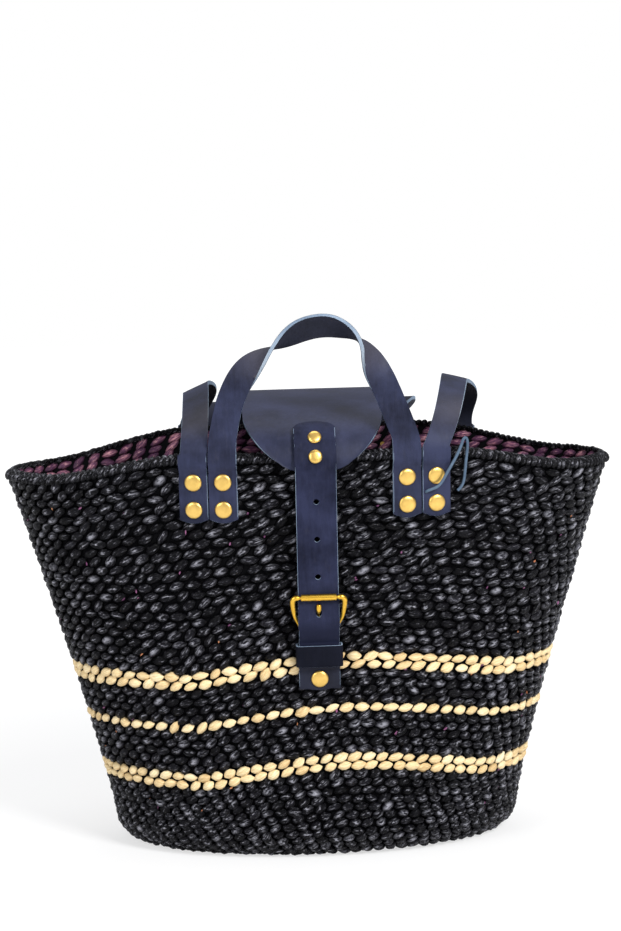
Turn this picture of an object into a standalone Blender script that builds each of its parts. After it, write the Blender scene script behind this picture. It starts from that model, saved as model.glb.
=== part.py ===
"""Oval woven basket with leather handles, a closing flap and a roller buckle.

Units are metres, +Z is up, the base stands on the floor at the origin, and the
front of the basket faces -Y. Every separate piece is one named object, and
each moving piece has its origin on its joint axis.
"""
import math

import bmesh
import bpy
from mathutils import Matrix, Vector

# General fits
GAP = 0.0003
MERGE = 0.00001
SHARP_ANGLE = math.radians(32.0)
TURN = 2.0 * math.pi
NUDGE_SHARE = 0.0001

# Basket body, an ellipse that flares from the knee to the rim
RIM_HALF_WIDTH = 0.230
RIM_HALF_DEPTH = 0.118
RIM_HEIGHT = 0.307
CORNER_DIP = 0.017
CORNER_START_SHARE = 0.40
CORNER_END_SHARE = 0.90
KNEE_HALF_WIDTH = 0.155
KNEE_HALF_DEPTH = 0.092
KNEE_HEIGHT = 0.025
FLARE_POWER = 1.12
WALL = 0.006
SHELL_SEGMENTS = 64
KNEE_STEPS = 3

# Rope edge on the rim
BRAID_WIDTH = 0.009
BRAID_HEIGHT = 0.007
BRAID_BULGE = 0.0015
BRAID_SECTION = 8

# Pale stripes set into the wall: height at the front and half height
STRIPE_DEPTH = 0.0012
STRIPE_TABLE = {
    "stripe_upper": (0.152, 0.0065),
    "stripe_middle": (0.114, 0.0033),
    "stripe_lower": (0.076, 0.0065),
}

# Leather straps
LEATHER = 0.003
STRAP_WIDTH = 0.020
TAB_DROP = 0.050
TAB_END_BULGE = 0.003
LIFT_START = 0.0135
LIFT_END = 0.0085
HANDLE_X = 0.068
HINGE_RISE = LEATHER + GAP
HINGE_HEIGHT = RIM_HEIGHT + GAP + HINGE_RISE
TAB_CELLS = 12
ARCH_CELLS = 40
ARCH_POINTS = (
    (0.0680, 0.0000), (0.0672, 0.0080), (0.0640, 0.0240), (0.0580, 0.0380), (0.0520, 0.0485),
    (0.0450, 0.0610), (0.0360, 0.0720), (0.0220, 0.0810), (0.0000, 0.0870),
)
TWIST_START_SHARE = 0.35
FRONT_TWIST = math.radians(130.0)
BACK_TWIST = math.radians(100.0)
FALLEN_POINTS = (
    (0.0000, 0.0000), (0.0010, 0.0065), (0.0055, 0.0108), (0.0130, 0.0125), (0.0235, 0.0100),
    (0.0375, 0.0000), (0.0500, -0.0135), (0.0580, -0.0255), (0.0635, -0.0355),
)

# Side straps that cross the mouth: x at the front, the crown and the back, and crown rise
SIDE_TABLE = {
    "side_strap_left": (-0.091, -0.092, -0.092, 0.036),
    "side_strap_right": (0.091, 0.105, 0.127, 0.045),
}

# Rivets
CAP_RADIUS = 0.0063
CAP_HEIGHT = 0.0018
POST_RADIUS = 0.0020
HOLE_RADIUS = 0.0023
INNER_CAP_RADIUS = 0.0045
INNER_CAP_HEIGHT = 0.0010
RIVET_DROPS = (0.020, 0.040)
RIVET_SEGMENTS = 12
CUTTER_SEGMENTS = 14

# Flap
FLAP_HALF_WIDTH = 0.050
FLAP_TIP_COSINE_SHARE = 0.24
FLAP_BODY_CELLS = 26
FLAP_END_CELLS = 9
# Underside of the flap: depth place and rise above the rim
FLAP_PATH = (
    (0.1201, 0.0036), (0.1197, 0.0065), (0.1170, 0.0100), (0.1100, 0.0142), (0.0950, 0.0210),
    (0.0600, 0.0330), (0.0200, 0.0375), (-0.0200, 0.0355), (-0.0600, 0.0255), (-0.0950, 0.0100),
    (-0.1120, 0.0027), (-0.1185, 0.0007), (-0.1211, -0.0040), (-0.1213, -0.0090), (-0.1198, -0.0140),
)
FLAP_BASE_DROP = 0.045
FLAP_BASE_RIVETS = (("rivet_flap_base_left", -0.030), ("rivet_flap_base_right", 0.030))
FLAP_BASE_RIVET_DROP = 0.028

# Closure strap; its inner face as drops below the rim and offsets from the wall
CLOSURE_HALF_WIDTH = 0.015
CLOSURE_THICKNESS = 0.0026
CLOSURE_TOP_Y = -0.092
CLOSURE_LEAVES_DROP = 0.0125
CLOSURE_WALL_PATH = (
    (0.0165, 0.0072), (0.0220, 0.0067), (0.0370, 0.0062), (0.0620, 0.0062), (0.0870, 0.0063), (0.1000, 0.0067),
    (0.1060, 0.0070), (0.1155, 0.0081), (0.1240, 0.0091), (0.1285, 0.0095), (0.1325, 0.0090), (0.1348, 0.0079),
    (0.1367, 0.0067), (0.1385, 0.0063), (0.1420, 0.0063), (0.1540, 0.0063),
)
CLOSURE_CELLS = 56
CLOSURE_SPACE = 0.0008
CLOSURE_END = 0.009
CLOSURE_HOLE_DROPS = (0.0345, 0.0620, 0.0895)
CLOSURE_HOLE_RADIUS = 0.0021
PRONG_HOLE_HALF_HEIGHT = 0.0034
CLOSURE_RIVET_RADIUS = 0.0050
CLOSURE_RIVET_YS = (("rivet_closure_upper", -0.1075), ("rivet_closure_lower", -0.1212))
CLOSURE_RIVET_SEAT = 0.0005

# Buckle, placed by its heel bar
HEEL_DROP = 0.1300
HEEL_Z = RIM_HEIGHT - HEEL_DROP
HEEL_N = 0.00515
BAR_RADIUS = 0.0015
FRAME_RISE = 0.0263
TOP_N = 0.0124
# Right half of the frame: sideways place, rise above the heel bar and radius share
FRAME_HALF = (
    (0.0112, 0.0000, 1.00), (0.0124, 0.0003, 0.85), (0.0134, 0.0015, 0.70), (0.0140, 0.0033, 0.66),
    (0.0147, 0.0056, 0.68), (0.0160, 0.0082, 0.74), (0.0173, 0.0115, 0.85), (0.0182, 0.0160, 0.97),
    (0.0187, 0.0205, 1.08), (0.0188, 0.0238, 1.14), (0.0182, 0.0256, 1.16), (0.0168, 0.0263, 1.10),
    (0.0145, 0.0263, 0.92), (0.0130, 0.0263, 0.80),
)
PRONG_HOLE_RISE = 0.0144
ROLLER_HALF = 0.0128
ROLLER_BORE = 0.0015
ROLLER_RADIUS = 0.0025
PRONG_RADIUS = 0.0014
PRONG_EYE_SHARE = 0.65
PRONG_TIP_SHARES = (0.65, 0.65, 0.65, 0.65, 0.65, 0.75, 0.95, 1.0, 1.0, 0.95)
EYE_RADIUS = BAR_RADIUS + GAP + PRONG_EYE_SHARE * PRONG_RADIUS
EYE_STEPS = 14
EYE_START = math.radians(-62.0)
# Prong: offset from the wall and rise above the heel bar
PRONG_PATH = (
    (0.00780, 0.0025), (0.00715, 0.0048), (0.00650, 0.0078), (0.00640, 0.0106), (0.00705, 0.0127),
    (0.00865, 0.0142), (0.01030, 0.0153), (0.01150, 0.0168), (0.01200, 0.0188), (0.01205, 0.0212),
)

# Chape, the strip that holds the buckle
CHAPE_HALF_WIDTH = 0.0148
CHAPE_FOLD_HALF_WIDTH = 0.0106
CHAPE_TAPER_LOW = 0.0110
CHAPE_TAPER_HIGH = 0.0035
CHAPE = 0.0018
CHAPE_FOLD = BAR_RADIUS + GAP + 0.5 * CHAPE
# Both layers of the chape: drop below the heel bar and offset from the wall
CHAPE_BACK = (
    (0.0395, 0.00125), (0.0330, 0.00125), (0.0300, 0.00130), (0.0282, 0.00210), (0.0267, 0.00300),
    (0.0240, 0.00310), (0.0140, 0.00310), (0.0050, 0.00310), (0.0025, 0.00275),
)
CHAPE_FRONT = (
    (0.0025, 0.00740), (0.0042, 0.00620), (0.0060, 0.00530), (0.0080, 0.00520), (0.0180, 0.00520),
    (0.0240, 0.00520), (0.0270, 0.00508), (0.0286, 0.00428), (0.0301, 0.00350), (0.0330, 0.00338),
    (0.0400, 0.00335), (0.0450, 0.00335),
)
CHAPE_FOLD_STEPS = 10
CHAPE_RIVET_DROP = 0.0365
CHAPE_SLOT_HALF = 0.0022
CHAPE_SLOT_REACH = 0.0056
CHAPE_SLOT_OUT = 0.0120
CHAPE_SLOT_IN = 0.0010

# Keeper loop, its edges as drops below the heel bar
KEEPER_THICKNESS = 0.0016
KEEPER_HALF_WIDTH = 0.0154
KEEPER_BACK = 0.0019
KEEPER_FRONT = 0.0093
KEEPER_LOW = 0.0260
KEEPER_HIGH = 0.0103
KEEPER_CORNER = 0.0010
CORNER_STEPS = 4

# Tie lace: x, height and offset from the wall
LACE_RADIUS = 0.0011
LACE_PATH = (
    (0.0795, 0.2746, 0.0016), (0.0797, 0.2760, 0.0044), (0.0822, 0.2775, 0.0060), (0.0860, 0.2795, 0.0076),
    (0.0890, 0.2825, 0.0079), (0.0915, 0.2865, 0.0079), (0.0945, 0.2915, 0.0078), (0.0975, 0.2960, 0.0072),
    (0.1000, 0.3000, 0.0068), (0.1025, 0.3045, 0.0065), (0.1045, 0.3090, 0.0062), (0.1060, 0.3125, 0.0058),
    (0.1075, 0.3140, 0.0055), (0.1090, 0.3125, 0.0051), (0.1095, 0.3085, 0.0047), (0.1092, 0.3030, 0.0043),
    (0.1085, 0.2960, 0.0038), (0.1080, 0.2890, 0.0034), (0.1072, 0.2820, 0.0030), (0.1055, 0.2775, 0.0024),
    (0.1030, 0.2746, 0.0018),
)
LACE_BEVEL_RESOLUTION = 1

# Colour, roughness and metallic for each material slot
MATERIAL_TABLE = {
    "woven_black": ((0.022, 0.024, 0.031), 0.62, 0.0),
    "woven_cream": ((0.62, 0.57, 0.46), 0.70, 0.0),
    "leather": ((0.045, 0.052, 0.075), 0.48, 0.0),
    "lace": ((0.10, 0.13, 0.18), 0.55, 0.0),
    "brass": ((0.72, 0.50, 0.22), 0.26, 1.0),
}


def clear_scene():
    """Remove every object, so that each run starts from nothing."""
    for item in list(bpy.data.objects):
        bpy.data.objects.remove(item, do_unlink=True)


def material(slot):
    """Return the Principled material of a slot, made on first use."""
    found = bpy.data.materials.get(slot)
    if found:
        return found
    colour, roughness, metallic = MATERIAL_TABLE[slot]
    made = bpy.data.materials.new(slot)
    made.use_nodes = True
    shader = made.node_tree.nodes["Principled BSDF"]
    shader.inputs["Base Color"].default_value = (*colour, 1.0)
    shader.inputs["Roughness"].default_value = roughness
    shader.inputs["Metallic"].default_value = metallic
    made.diffuse_color = (*colour, 1.0)
    return made


def finish_mesh(name, work, slot):
    """Turn a bmesh into a shaded, named object with a material slot."""
    bmesh.ops.remove_doubles(work, verts=work.verts, dist=MERGE)
    bmesh.ops.recalc_face_normals(work, faces=work.faces)
    data = bpy.data.meshes.new(name)
    work.to_mesh(data)
    work.free()
    data.shade_smooth()
    data.set_sharp_from_angle(angle=SHARP_ANGLE)
    data.materials.append(material(slot))
    item = bpy.data.objects.new(name, data)
    bpy.context.scene.collection.objects.link(item)
    return item


def seat(item, origin):
    """Move an object's origin to a joint axis without moving its shape."""
    if item.type == "MESH":
        item.data.transform(Matrix.Translation(-origin))
    else:
        for point in item.data.splines[0].points:
            point.co = (*(Vector(point.co[:3]) - origin), 1.0)
    item.location = origin
    return item


def slab(name, place, across, along, slot):
    """Make a closed sheet: a grid, extruded, then mapped by place(u, row, w)."""
    work = bmesh.new()
    bmesh.ops.create_grid(work, x_segments=across, y_segments=along, size=0.5)
    grown = bmesh.ops.extrude_face_region(work, geom=list(work.faces), use_keep_orig=True)
    for part in grown["geom"]:
        if isinstance(part, bmesh.types.BMVert):
            part.co.z = 1.0
    for vertex in work.verts:
        row = round((vertex.co.y + 0.5) * along)
        vertex.co = place(vertex.co.x + 0.5, row, vertex.co.z)
    return finish_mesh(name, work, slot)


def wrapped(name, place, around, rows, slot):
    """Make a closed surface from a grid whose sides meet, mapped by place(u, row)."""
    work = bmesh.new()
    bmesh.ops.create_grid(work, x_segments=around, y_segments=rows, size=0.5)
    for vertex in work.verts:
        row = round((vertex.co.y + 0.5) * rows)
        vertex.co = place(vertex.co.x + 0.5, row)
    return finish_mesh(name, work, slot)


def tube(name, points, radius, slot, cyclic=False, shares=None, resolution=2):
    """Make a round wire along points as a bevelled curve."""
    data = bpy.data.curves.new(name, "CURVE")
    data.dimensions = "3D"
    data.bevel_depth = radius
    data.bevel_resolution = resolution
    data.use_fill_caps = not cyclic
    spline = data.splines.new("POLY")
    spline.points.add(len(points) - 1)
    for index, point in enumerate(points):
        spline.points[index].co = (*point, 1.0)
        if shares:
            spline.points[index].radius = shares[index]
    spline.use_cyclic_u = cyclic
    data.materials.append(material(slot))
    item = bpy.data.objects.new(name, data)
    bpy.context.scene.collection.objects.link(item)
    return item


def smooth_share(share):
    """Ease a share from 0 to 1."""
    share = min(max(share, 0.0), 1.0)
    return share * share * (3.0 - 2.0 * share)


def spline_points(points, steps):
    """Resample points by a Catmull-Rom curve, evenly along its length."""
    vectors = [Vector(point) for point in points]
    ends = [2.0 * vectors[0] - vectors[1], *vectors, 2.0 * vectors[-1] - vectors[-2]]
    dense = []
    fine = 16
    for index in range(len(vectors) - 1):
        first, second, third, fourth = ends[index:index + 4]
        for step in range(fine):
            share = step / fine
            dense.append(0.5 * (2.0 * second + (third - first) * share
                                + (2.0 * first - 5.0 * second + 4.0 * third - fourth) * share ** 2
                                + (3.0 * second - first - 3.0 * third + fourth) * share ** 3))
    dense.append(vectors[-1])
    lengths = [0.0]
    for before, after in zip(dense, dense[1:]):
        lengths.append(lengths[-1] + (after - before).length)
    result = []
    index = 0
    for step in range(steps + 1):
        target = lengths[-1] * step / steps
        while index < len(dense) - 2 and lengths[index + 1] < target:
            index += 1
        span = lengths[index + 1] - lengths[index]
        result.append(dense[index].lerp(dense[index + 1], (target - lengths[index]) / span))
    return result


def rim_height(angle):
    """Height of the rim, a little lower at the two ends."""
    share = (abs(math.cos(angle)) - CORNER_START_SHARE) / (CORNER_END_SHARE - CORNER_START_SHARE)
    return RIM_HEIGHT - CORNER_DIP * smooth_share(share)


def half_width(share):
    """Half width of the wall at a share of its height."""
    return KNEE_HALF_WIDTH + (RIM_HALF_WIDTH - KNEE_HALF_WIDTH) * max(share, 0.0) ** FLARE_POWER


def wall_ring(angle, share):
    """Point of the outer wall at an angle and a share of its height."""
    depth = KNEE_HALF_DEPTH + (RIM_HALF_DEPTH - KNEE_HALF_DEPTH) * share
    height = KNEE_HEIGHT + (rim_height(angle) - KNEE_HEIGHT) * share
    return Vector((half_width(share) * math.cos(angle), depth * math.sin(angle), height))


def wall_normal(angle, share):
    """Outward normal of the wall."""
    along = wall_ring(angle + NUDGE_SHARE, share) - wall_ring(angle - NUDGE_SHARE, share)
    up = wall_ring(angle, share + NUDGE_SHARE) - wall_ring(angle, share - NUDGE_SHARE)
    return along.cross(up).normalized()


def wall_place(x, z, side):
    """Angle and share of the wall point at x and z; side is -1 front or +1 back."""
    share = (z - KNEE_HEIGHT) / (RIM_HEIGHT - KNEE_HEIGHT)
    angle = 0.0
    for _ in range(8):
        angle = side * math.acos(x / half_width(share))
        share = (z - KNEE_HEIGHT) / (rim_height(angle) - KNEE_HEIGHT)
    return angle, share


def on_wall(x, z, side, offset):
    """Point a given distance off the wall, measured along its normal."""
    angle, share = wall_place(x, z, side)
    return wall_ring(angle, share) + wall_normal(angle, share) * offset


def front(n, z, x=0.0):
    """Point in front of the wall's middle line, moved sideways by x."""
    return on_wall(0.0, z, -1, n) + Vector((x, 0.0, 0.0))


def rim_at(x):
    """Height of the rim over x."""
    return rim_height(math.acos(x / RIM_HALF_WIDTH))


def lift(drop):
    """Distance that a strap keeps off the wall at a drop below the rim."""
    share = (LIFT_START - drop) / (LIFT_START - LIFT_END)
    return GAP + (BRAID_BULGE + GAP) * smooth_share(share)


def shell_rows():
    """Rows of the shell's section, from the outer base centre to the inner one."""
    shares = [(0.04, 0.0)]
    span = RIM_HEIGHT - KNEE_HEIGHT
    for height, half in sorted(STRIPE_TABLE.values()):
        low = (height - half - GAP - KNEE_HEIGHT) / span
        high = (height + half + GAP - KNEE_HEIGHT) / span
        groove = -STRIPE_DEPTH - GAP
        shares += [(low, 0.0), (low, groove), (high, groove), (high, 0.0)]
    shares += [(0.72, 0.0)]
    rows = [("pole", 0.0, 0.0)]
    rows += [("knee", 1.0 - step / KNEE_STEPS, 0.0) for step in range(KNEE_STEPS + 1)]
    rows += [("wall", share, offset) for share, offset in shares]
    rows += [("top", 0.0, 0.0), ("top", 0.0, -WALL)]
    rows += [("wall", share, -WALL) for share in (0.7, 0.35, 0.04)]
    rows += [("knee", step / KNEE_STEPS, -WALL) for step in range(KNEE_STEPS + 1)]
    rows += [("pole", 0.0, -WALL)]
    return rows


def shell_point(angle, row):
    """Place one row of the shell's section at an angle."""
    kind, share, offset = row
    if kind == "pole":
        return Vector((0.0, 0.0, -offset))
    if kind == "wall":
        return wall_ring(angle, share) + wall_normal(angle, share) * offset
    if kind == "top":
        height = rim_height(angle) - BRAID_HEIGHT - GAP
        top = (height - KNEE_HEIGHT) / (rim_height(angle) - KNEE_HEIGHT)
        point = wall_ring(angle, top) + wall_normal(angle, top) * offset
        return Vector((point.x, point.y, height))
    base = wall_ring(angle, 0.0)
    outward = wall_normal(angle, 0.0)
    outward = Vector((outward.x, outward.y, 0.0)).normalized()
    turn = share * 0.25 * TURN
    radius = KNEE_HEIGHT + offset
    centre = base - outward * KNEE_HEIGHT
    return centre + outward * radius * math.cos(turn) - Vector((0.0, 0.0, radius * math.sin(turn)))


def make_shell():
    """Build the woven body as one plain shell with stripe grooves."""
    rows = shell_rows()
    return wrapped("basket_shell", lambda u, row: shell_point(u * TURN, rows[row]), SHELL_SEGMENTS,
                   len(rows) - 1, "woven_black")


def make_braid():
    """Build the rope edge as a ring of oval section on top of the shell."""
    def place(u, row):
        angle = u * TURN
        turn = row / BRAID_SECTION * TURN
        middle = wall_ring(angle, 1.0)
        outward = wall_normal(angle, 1.0)
        outward = Vector((outward.x, outward.y, 0.0)).normalized()
        sideways = BRAID_BULGE - 0.5 * BRAID_WIDTH * (1.0 - math.cos(turn))
        upward = 0.5 * BRAID_HEIGHT * (math.sin(turn) - 1.0)
        return middle + outward * sideways + Vector((0.0, 0.0, upward))
    return wrapped("rim_braid", place, SHELL_SEGMENTS, BRAID_SECTION, "woven_black")


def make_stripe(name, height, half):
    """Build one pale band in its groove, flush with the wall."""
    low = (height - half - KNEE_HEIGHT) / (RIM_HEIGHT - KNEE_HEIGHT)
    high = (height + half - KNEE_HEIGHT) / (RIM_HEIGHT - KNEE_HEIGHT)
    corners = ((low, 0.0), (high, 0.0), (high, -STRIPE_DEPTH), (low, -STRIPE_DEPTH), (low, 0.0))

    def place(u, row):
        share, offset = corners[row]
        return wall_ring(u * TURN, share) + wall_normal(u * TURN, share) * offset
    return wrapped(name, place, SHELL_SEGMENTS, 4, "woven_cream")


def tab_bottom(u, drop):
    """Drop of the convex end of a strap below the rim."""
    return drop - TAB_END_BULGE * (2.0 * u - 1.0) ** 2


def make_tab(name, middle, side, width=STRAP_WIDTH, drop=TAB_DROP, across=2):
    """Build the sewn-on end of a strap, flat on the wall and lifted over the rope edge."""
    def place(u, row, w):
        below = tab_bottom(u, drop) * (1.0 - row / TAB_CELLS) - GAP * row / TAB_CELLS
        x = middle + (u - 0.5) * width
        return on_wall(x, RIM_HEIGHT - below, side, lift(below) + w * LEATHER)
    return slab(name, place, across, TAB_CELLS, "leather")


def side_x(name, share, u):
    """Sideways place of a side strap at a share of its arch."""
    start, crown, end, _ = SIDE_TABLE[name]
    curve = start + (end - start) * share + (4.0 * crown - 2.0 * start - 2.0 * end) * share * (1.0 - share)
    return curve + (u - 0.5) * STRAP_WIDTH


def side_tab_point(name, share, u, w, side, down):
    """Point on one sewn-on end of a side strap."""
    x = side_x(name, share, u)
    below = tab_bottom(u, TAB_DROP) * down - GAP * (1.0 - down)
    return on_wall(x, rim_at(x) - below, side, lift(below) + w * LEATHER)


def side_arch_point(name, share, u, w):
    """Point on the arch of a side strap over the basket's mouth."""
    x = side_x(name, share, u)
    turn = share * math.pi
    side = -1 if share < 0.5 else 1
    base = on_wall(x, rim_at(x) + GAP, side, lift(-GAP))
    rise = (SIDE_TABLE[name][3] + w * LEATHER) * math.sin(turn)
    return Vector((x, -(abs(base.y) + w * LEATHER) * math.cos(turn), base.z + rise))


def make_side_strap(name):
    """Build a strap from the front wall, over the mouth, to the back wall."""
    rows = TAB_CELLS + ARCH_CELLS + TAB_CELLS

    def place(u, row, w):
        if row <= TAB_CELLS:
            return side_tab_point(name, 0.0, u, w, -1, 1.0 - row / TAB_CELLS)
        if row >= TAB_CELLS + ARCH_CELLS:
            return side_tab_point(name, 1.0, u, w, 1, (row - TAB_CELLS - ARCH_CELLS) / TAB_CELLS)
        return side_arch_point(name, (row - TAB_CELLS) / ARCH_CELLS, u, w)
    return slab(name, place, 2, rows, "leather")


def handle_hinge(side):
    """Middle of a handle's fold axis, just outside the sewn-on ends."""
    face = on_wall(HANDLE_X - 0.5 * STRAP_WIDTH, RIM_HEIGHT, side, lift(0.0) + LEATHER)
    return Vector((0.0, face.y + side * GAP, HINGE_HEIGHT))


def handle_line():
    """Both halves of the handle's arch as sideways place and height, left to right."""
    left = [(-x, height) for x, height in ARCH_POINTS]
    right = [(x, height) for x, height in reversed(ARCH_POINTS[:-1])]
    return spline_points(left + right, ARCH_CELLS)


def bent_frame(height, curve):
    """Place and outward normal at a height up a bent handle plane, as (outward, up)."""
    last = len(curve) - 1
    index = min(max(height / curve_length(curve) * last, 0.0), last - 0.001)
    low = int(index)
    point = curve[low].lerp(curve[low + 1], index - low)
    along = (curve[low + 1] - curve[low]).normalized()
    return point, Vector((along.y, -along.x)), along


def curve_length(curve):
    """Length of a resampled curve."""
    return sum((after - before).length for before, after in zip(curve, curve[1:]))


def make_handle(name, side, curve, twist):
    """Build the moving arch of a handle as a twisted ribbon."""
    hinge = handle_hinge(side)
    line = handle_line()

    def place(u, row, w):
        before = line[max(row - 1, 0)]
        after = line[min(row + 1, ARCH_CELLS)]
        along = (after - before).normalized()
        if row in (0, ARCH_CELLS):
            along = Vector((0.0, -1.0 if row else 1.0))
        x, height = line[row]
        point, outward, up = bent_frame(height, curve)
        out_axis = Vector((0.0, side * outward.x, outward.y))
        up_axis = Vector((0.0, side * up.x, up.y))
        width_axis = Vector((along.y, 0.0, 0.0)) - up_axis * along.x
        climb = 1.0 - abs(2.0 * row / ARCH_CELLS - 1.0)
        turn = twist * smooth_share((climb - TWIST_START_SHARE) / (1.0 - TWIST_START_SHARE))
        turned_width = width_axis * math.cos(turn) + out_axis * math.sin(turn)
        turned_out = out_axis * math.cos(turn) - width_axis * math.sin(turn)
        if row in (0, ARCH_CELLS):
            point = point - up * (w * LEATHER)
        centre = hinge + Vector((x, side * point.x, point.y)) - out_axis * 0.5 * LEATHER
        return centre + turned_width * (u - 0.5) * STRAP_WIDTH + turned_out * (w - 0.5) * LEATHER
    return seat(slab(name, place, 2, ARCH_CELLS, "leather"), hinge)


def lean_curve():
    """Straight handle plane that leans outward like the wall."""
    slope = (RIM_HALF_DEPTH - KNEE_HALF_DEPTH) / (RIM_HEIGHT - KNEE_HEIGHT)
    up = Vector((slope, 1.0)).normalized()
    return [up * (ARCH_POINTS[-1][1] * step / ARCH_CELLS) for step in range(ARCH_CELLS + 1)]


def flap_line():
    """Underside of the flap along its middle, from the back fold to the front tip."""
    return spline_points([(y, RIM_HEIGHT + rise) for y, rise in FLAP_PATH], 240)


def line_frame(line, length):
    """Point and outward normal at a length along a line of even steps."""
    step = (line[1] - line[0]).length
    index = min(max(length / step, 0.0), len(line) - 1.001)
    low = int(index)
    point = line[low].lerp(line[low + 1], index - low)
    along = (line[min(low + 2, len(line) - 1)] - line[max(low - 1, 0)]).normalized()
    return point, Vector((-along.y, along.x)) * -1.0


def flap_hinge():
    """Middle of the flap's fold axis."""
    return Vector((0.0, FLAP_PATH[0][0] + LEATHER, HINGE_HEIGHT))


def make_flap():
    """Build the flap with its round front end."""
    line = flap_line()
    total = curve_length(line)
    straight = total - FLAP_HALF_WIDTH
    last = math.acos(FLAP_TIP_COSINE_SHARE)

    def place(u, row, w):
        if row <= FLAP_BODY_CELLS:
            length = straight * row / FLAP_BODY_CELLS
            half = FLAP_HALF_WIDTH
        else:
            turn = last * (row - FLAP_BODY_CELLS) / FLAP_END_CELLS
            length = straight + FLAP_HALF_WIDTH * math.sin(turn)
            half = FLAP_HALF_WIDTH * math.cos(turn)
        point, outward = line_frame(line, length)
        point = point + outward * (w * LEATHER)
        if row == 0:
            point = Vector((FLAP_PATH[0][0] + w * LEATHER, HINGE_HEIGHT - w * LEATHER))
        x = (2.0 * u - 1.0) * half
        return Vector((x, point.x * math.sqrt(1.0 - (x / RIM_HALF_WIDTH) ** 2), point.y))
    return seat(slab("flap", place, 10, FLAP_BODY_CELLS + FLAP_END_CELLS, "leather"), flap_hinge())


def flap_length_at(line, y):
    """Length along the flap line where its depth place is y, measured from the back."""
    step = (line[1] - line[0]).length
    for index, point in enumerate(line):
        if point.x <= y:
            return index * step
    return step * (len(line) - 1)


def closure_line():
    """Inner face of the closure strap: over the flap, then down the wall."""
    line = flap_line()
    step = (line[1] - line[0]).length
    points = []
    length = flap_length_at(line, CLOSURE_TOP_Y)
    while length < step * (len(line) - 1):
        point, outward = line_frame(line, length)
        if point.y < RIM_HEIGHT - CLOSURE_LEAVES_DROP:
            break
        points.append(point + outward * (LEATHER + CLOSURE_SPACE))
        length += 4.0 * step
    for drop, n in CLOSURE_WALL_PATH:
        point = front(n, RIM_HEIGHT - drop)
        points.append(Vector((point.y, point.z)))
    return spline_points(points, 4 * CLOSURE_CELLS)


def make_closure_strap():
    """Build the long strap riveted on the flap, with its punched holes."""
    line = closure_line()
    total = curve_length(line)
    last = 4 * CLOSURE_CELLS

    def place(u, row, w):
        across = 2.0 * u - 1.0
        round_share = math.sqrt(1.0 - 0.9 * across ** 2)
        start = CLOSURE_END * (1.0 - round_share)
        end = total - CLOSURE_END * (1.0 - round_share)
        length = start + (end - start) * row / CLOSURE_CELLS
        point, outward = line_frame(line, min(length, total * (last - 1) / last))
        point = point + outward * (w * CLOSURE_THICKNESS)
        return Vector((across * CLOSURE_HALF_WIDTH, point.x, point.y))
    return seat(slab("closure_strap", place, 6, CLOSURE_CELLS, "leather"), flap_hinge())


def turned(name, base, axis, profile, slot):
    """Turn a section of (radius, distance) points about an axis through base."""
    turn_axis = axis.normalized()
    helper = Vector((0.0, 0.0, 1.0)) if abs(turn_axis.z) < 0.9 else Vector((1.0, 0.0, 0.0))
    first = turn_axis.cross(helper).normalized()
    second = turn_axis.cross(first)

    def place(u, row):
        radius, distance = profile[row]
        turn = u * TURN
        return base + turn_axis * distance + (first * math.cos(turn) + second * math.sin(turn)) * radius
    return wrapped(name, place, RIVET_SEGMENTS, len(profile) - 1, slot)


def cap_profile(face, radius):
    """Domed cap section above a face distance."""
    low = face + GAP
    return [
        (0.0, low + CAP_HEIGHT), (0.7 * radius, low + 0.8 * CAP_HEIGHT),
        (radius, low + 0.35 * CAP_HEIGHT), (radius, low), (POST_RADIUS, low),
    ]


def make_wall_rivet(name, x, z, side, face):
    """Build a rivet through a strap and the wall, with a small cap inside."""
    angle, share = wall_place(x, z, side)
    inside = -WALL - 1.5 * GAP
    profile = cap_profile(face, CAP_RADIUS) + [
        (POST_RADIUS, inside), (INNER_CAP_RADIUS, inside), (0.8 * INNER_CAP_RADIUS, inside - INNER_CAP_HEIGHT),
        (0.0, inside - INNER_CAP_HEIGHT),
    ]
    return turned(name, wall_ring(angle, share), wall_normal(angle, share), profile, "brass")


def make_flush_rivet(name, base, axis):
    """Build a rivet of the closure strap, peened flush inside the flap."""
    face = LEATHER + CLOSURE_SPACE + CLOSURE_THICKNESS
    profile = cap_profile(face, CLOSURE_RIVET_RADIUS) + [(POST_RADIUS, CLOSURE_RIVET_SEAT), (0.0, CLOSURE_RIVET_SEAT)]
    return seat(turned(name, base, axis, profile, "brass"), flap_hinge())


def cylinder(work, base, axis, radius, reach, tall_share=1.0):
    """Add one drill to a cutter mesh, taller than wide if asked."""
    turn = Vector((0.0, 0.0, 1.0)).rotation_difference(axis).to_matrix().to_4x4()
    shape = Matrix.Diagonal((1.0, tall_share, 1.0, 1.0))
    bmesh.ops.create_cone(work, cap_ends=True, segments=CUTTER_SEGMENTS, radius1=radius, radius2=radius,
                          depth=2.0 * reach, matrix=Matrix.Translation(base) @ turn @ shape)


def drill(target, fill):
    """Cut a target with one hidden cutter that fill(work) adds its drills to."""
    work = bmesh.new()
    fill(work)
    cutter = finish_mesh("cut_" + target.name, work, "brass")
    cutter.hide_render = True
    cutter.display_type = "WIRE"
    step = target.modifiers.new("drill", "BOOLEAN")
    step.operation = "DIFFERENCE"
    step.solver = "EXACT"
    step.object = cutter


def drill_wall_holes(target, holes):
    """Drill rivet holes along the wall's normals."""
    def fill(work):
        for x, z, side in holes:
            angle, share = wall_place(x, z, side)
            cylinder(work, wall_ring(angle, share), wall_normal(angle, share), HOLE_RADIUS, WALL + 2.0 * LEATHER)
    drill(target, fill)


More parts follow.
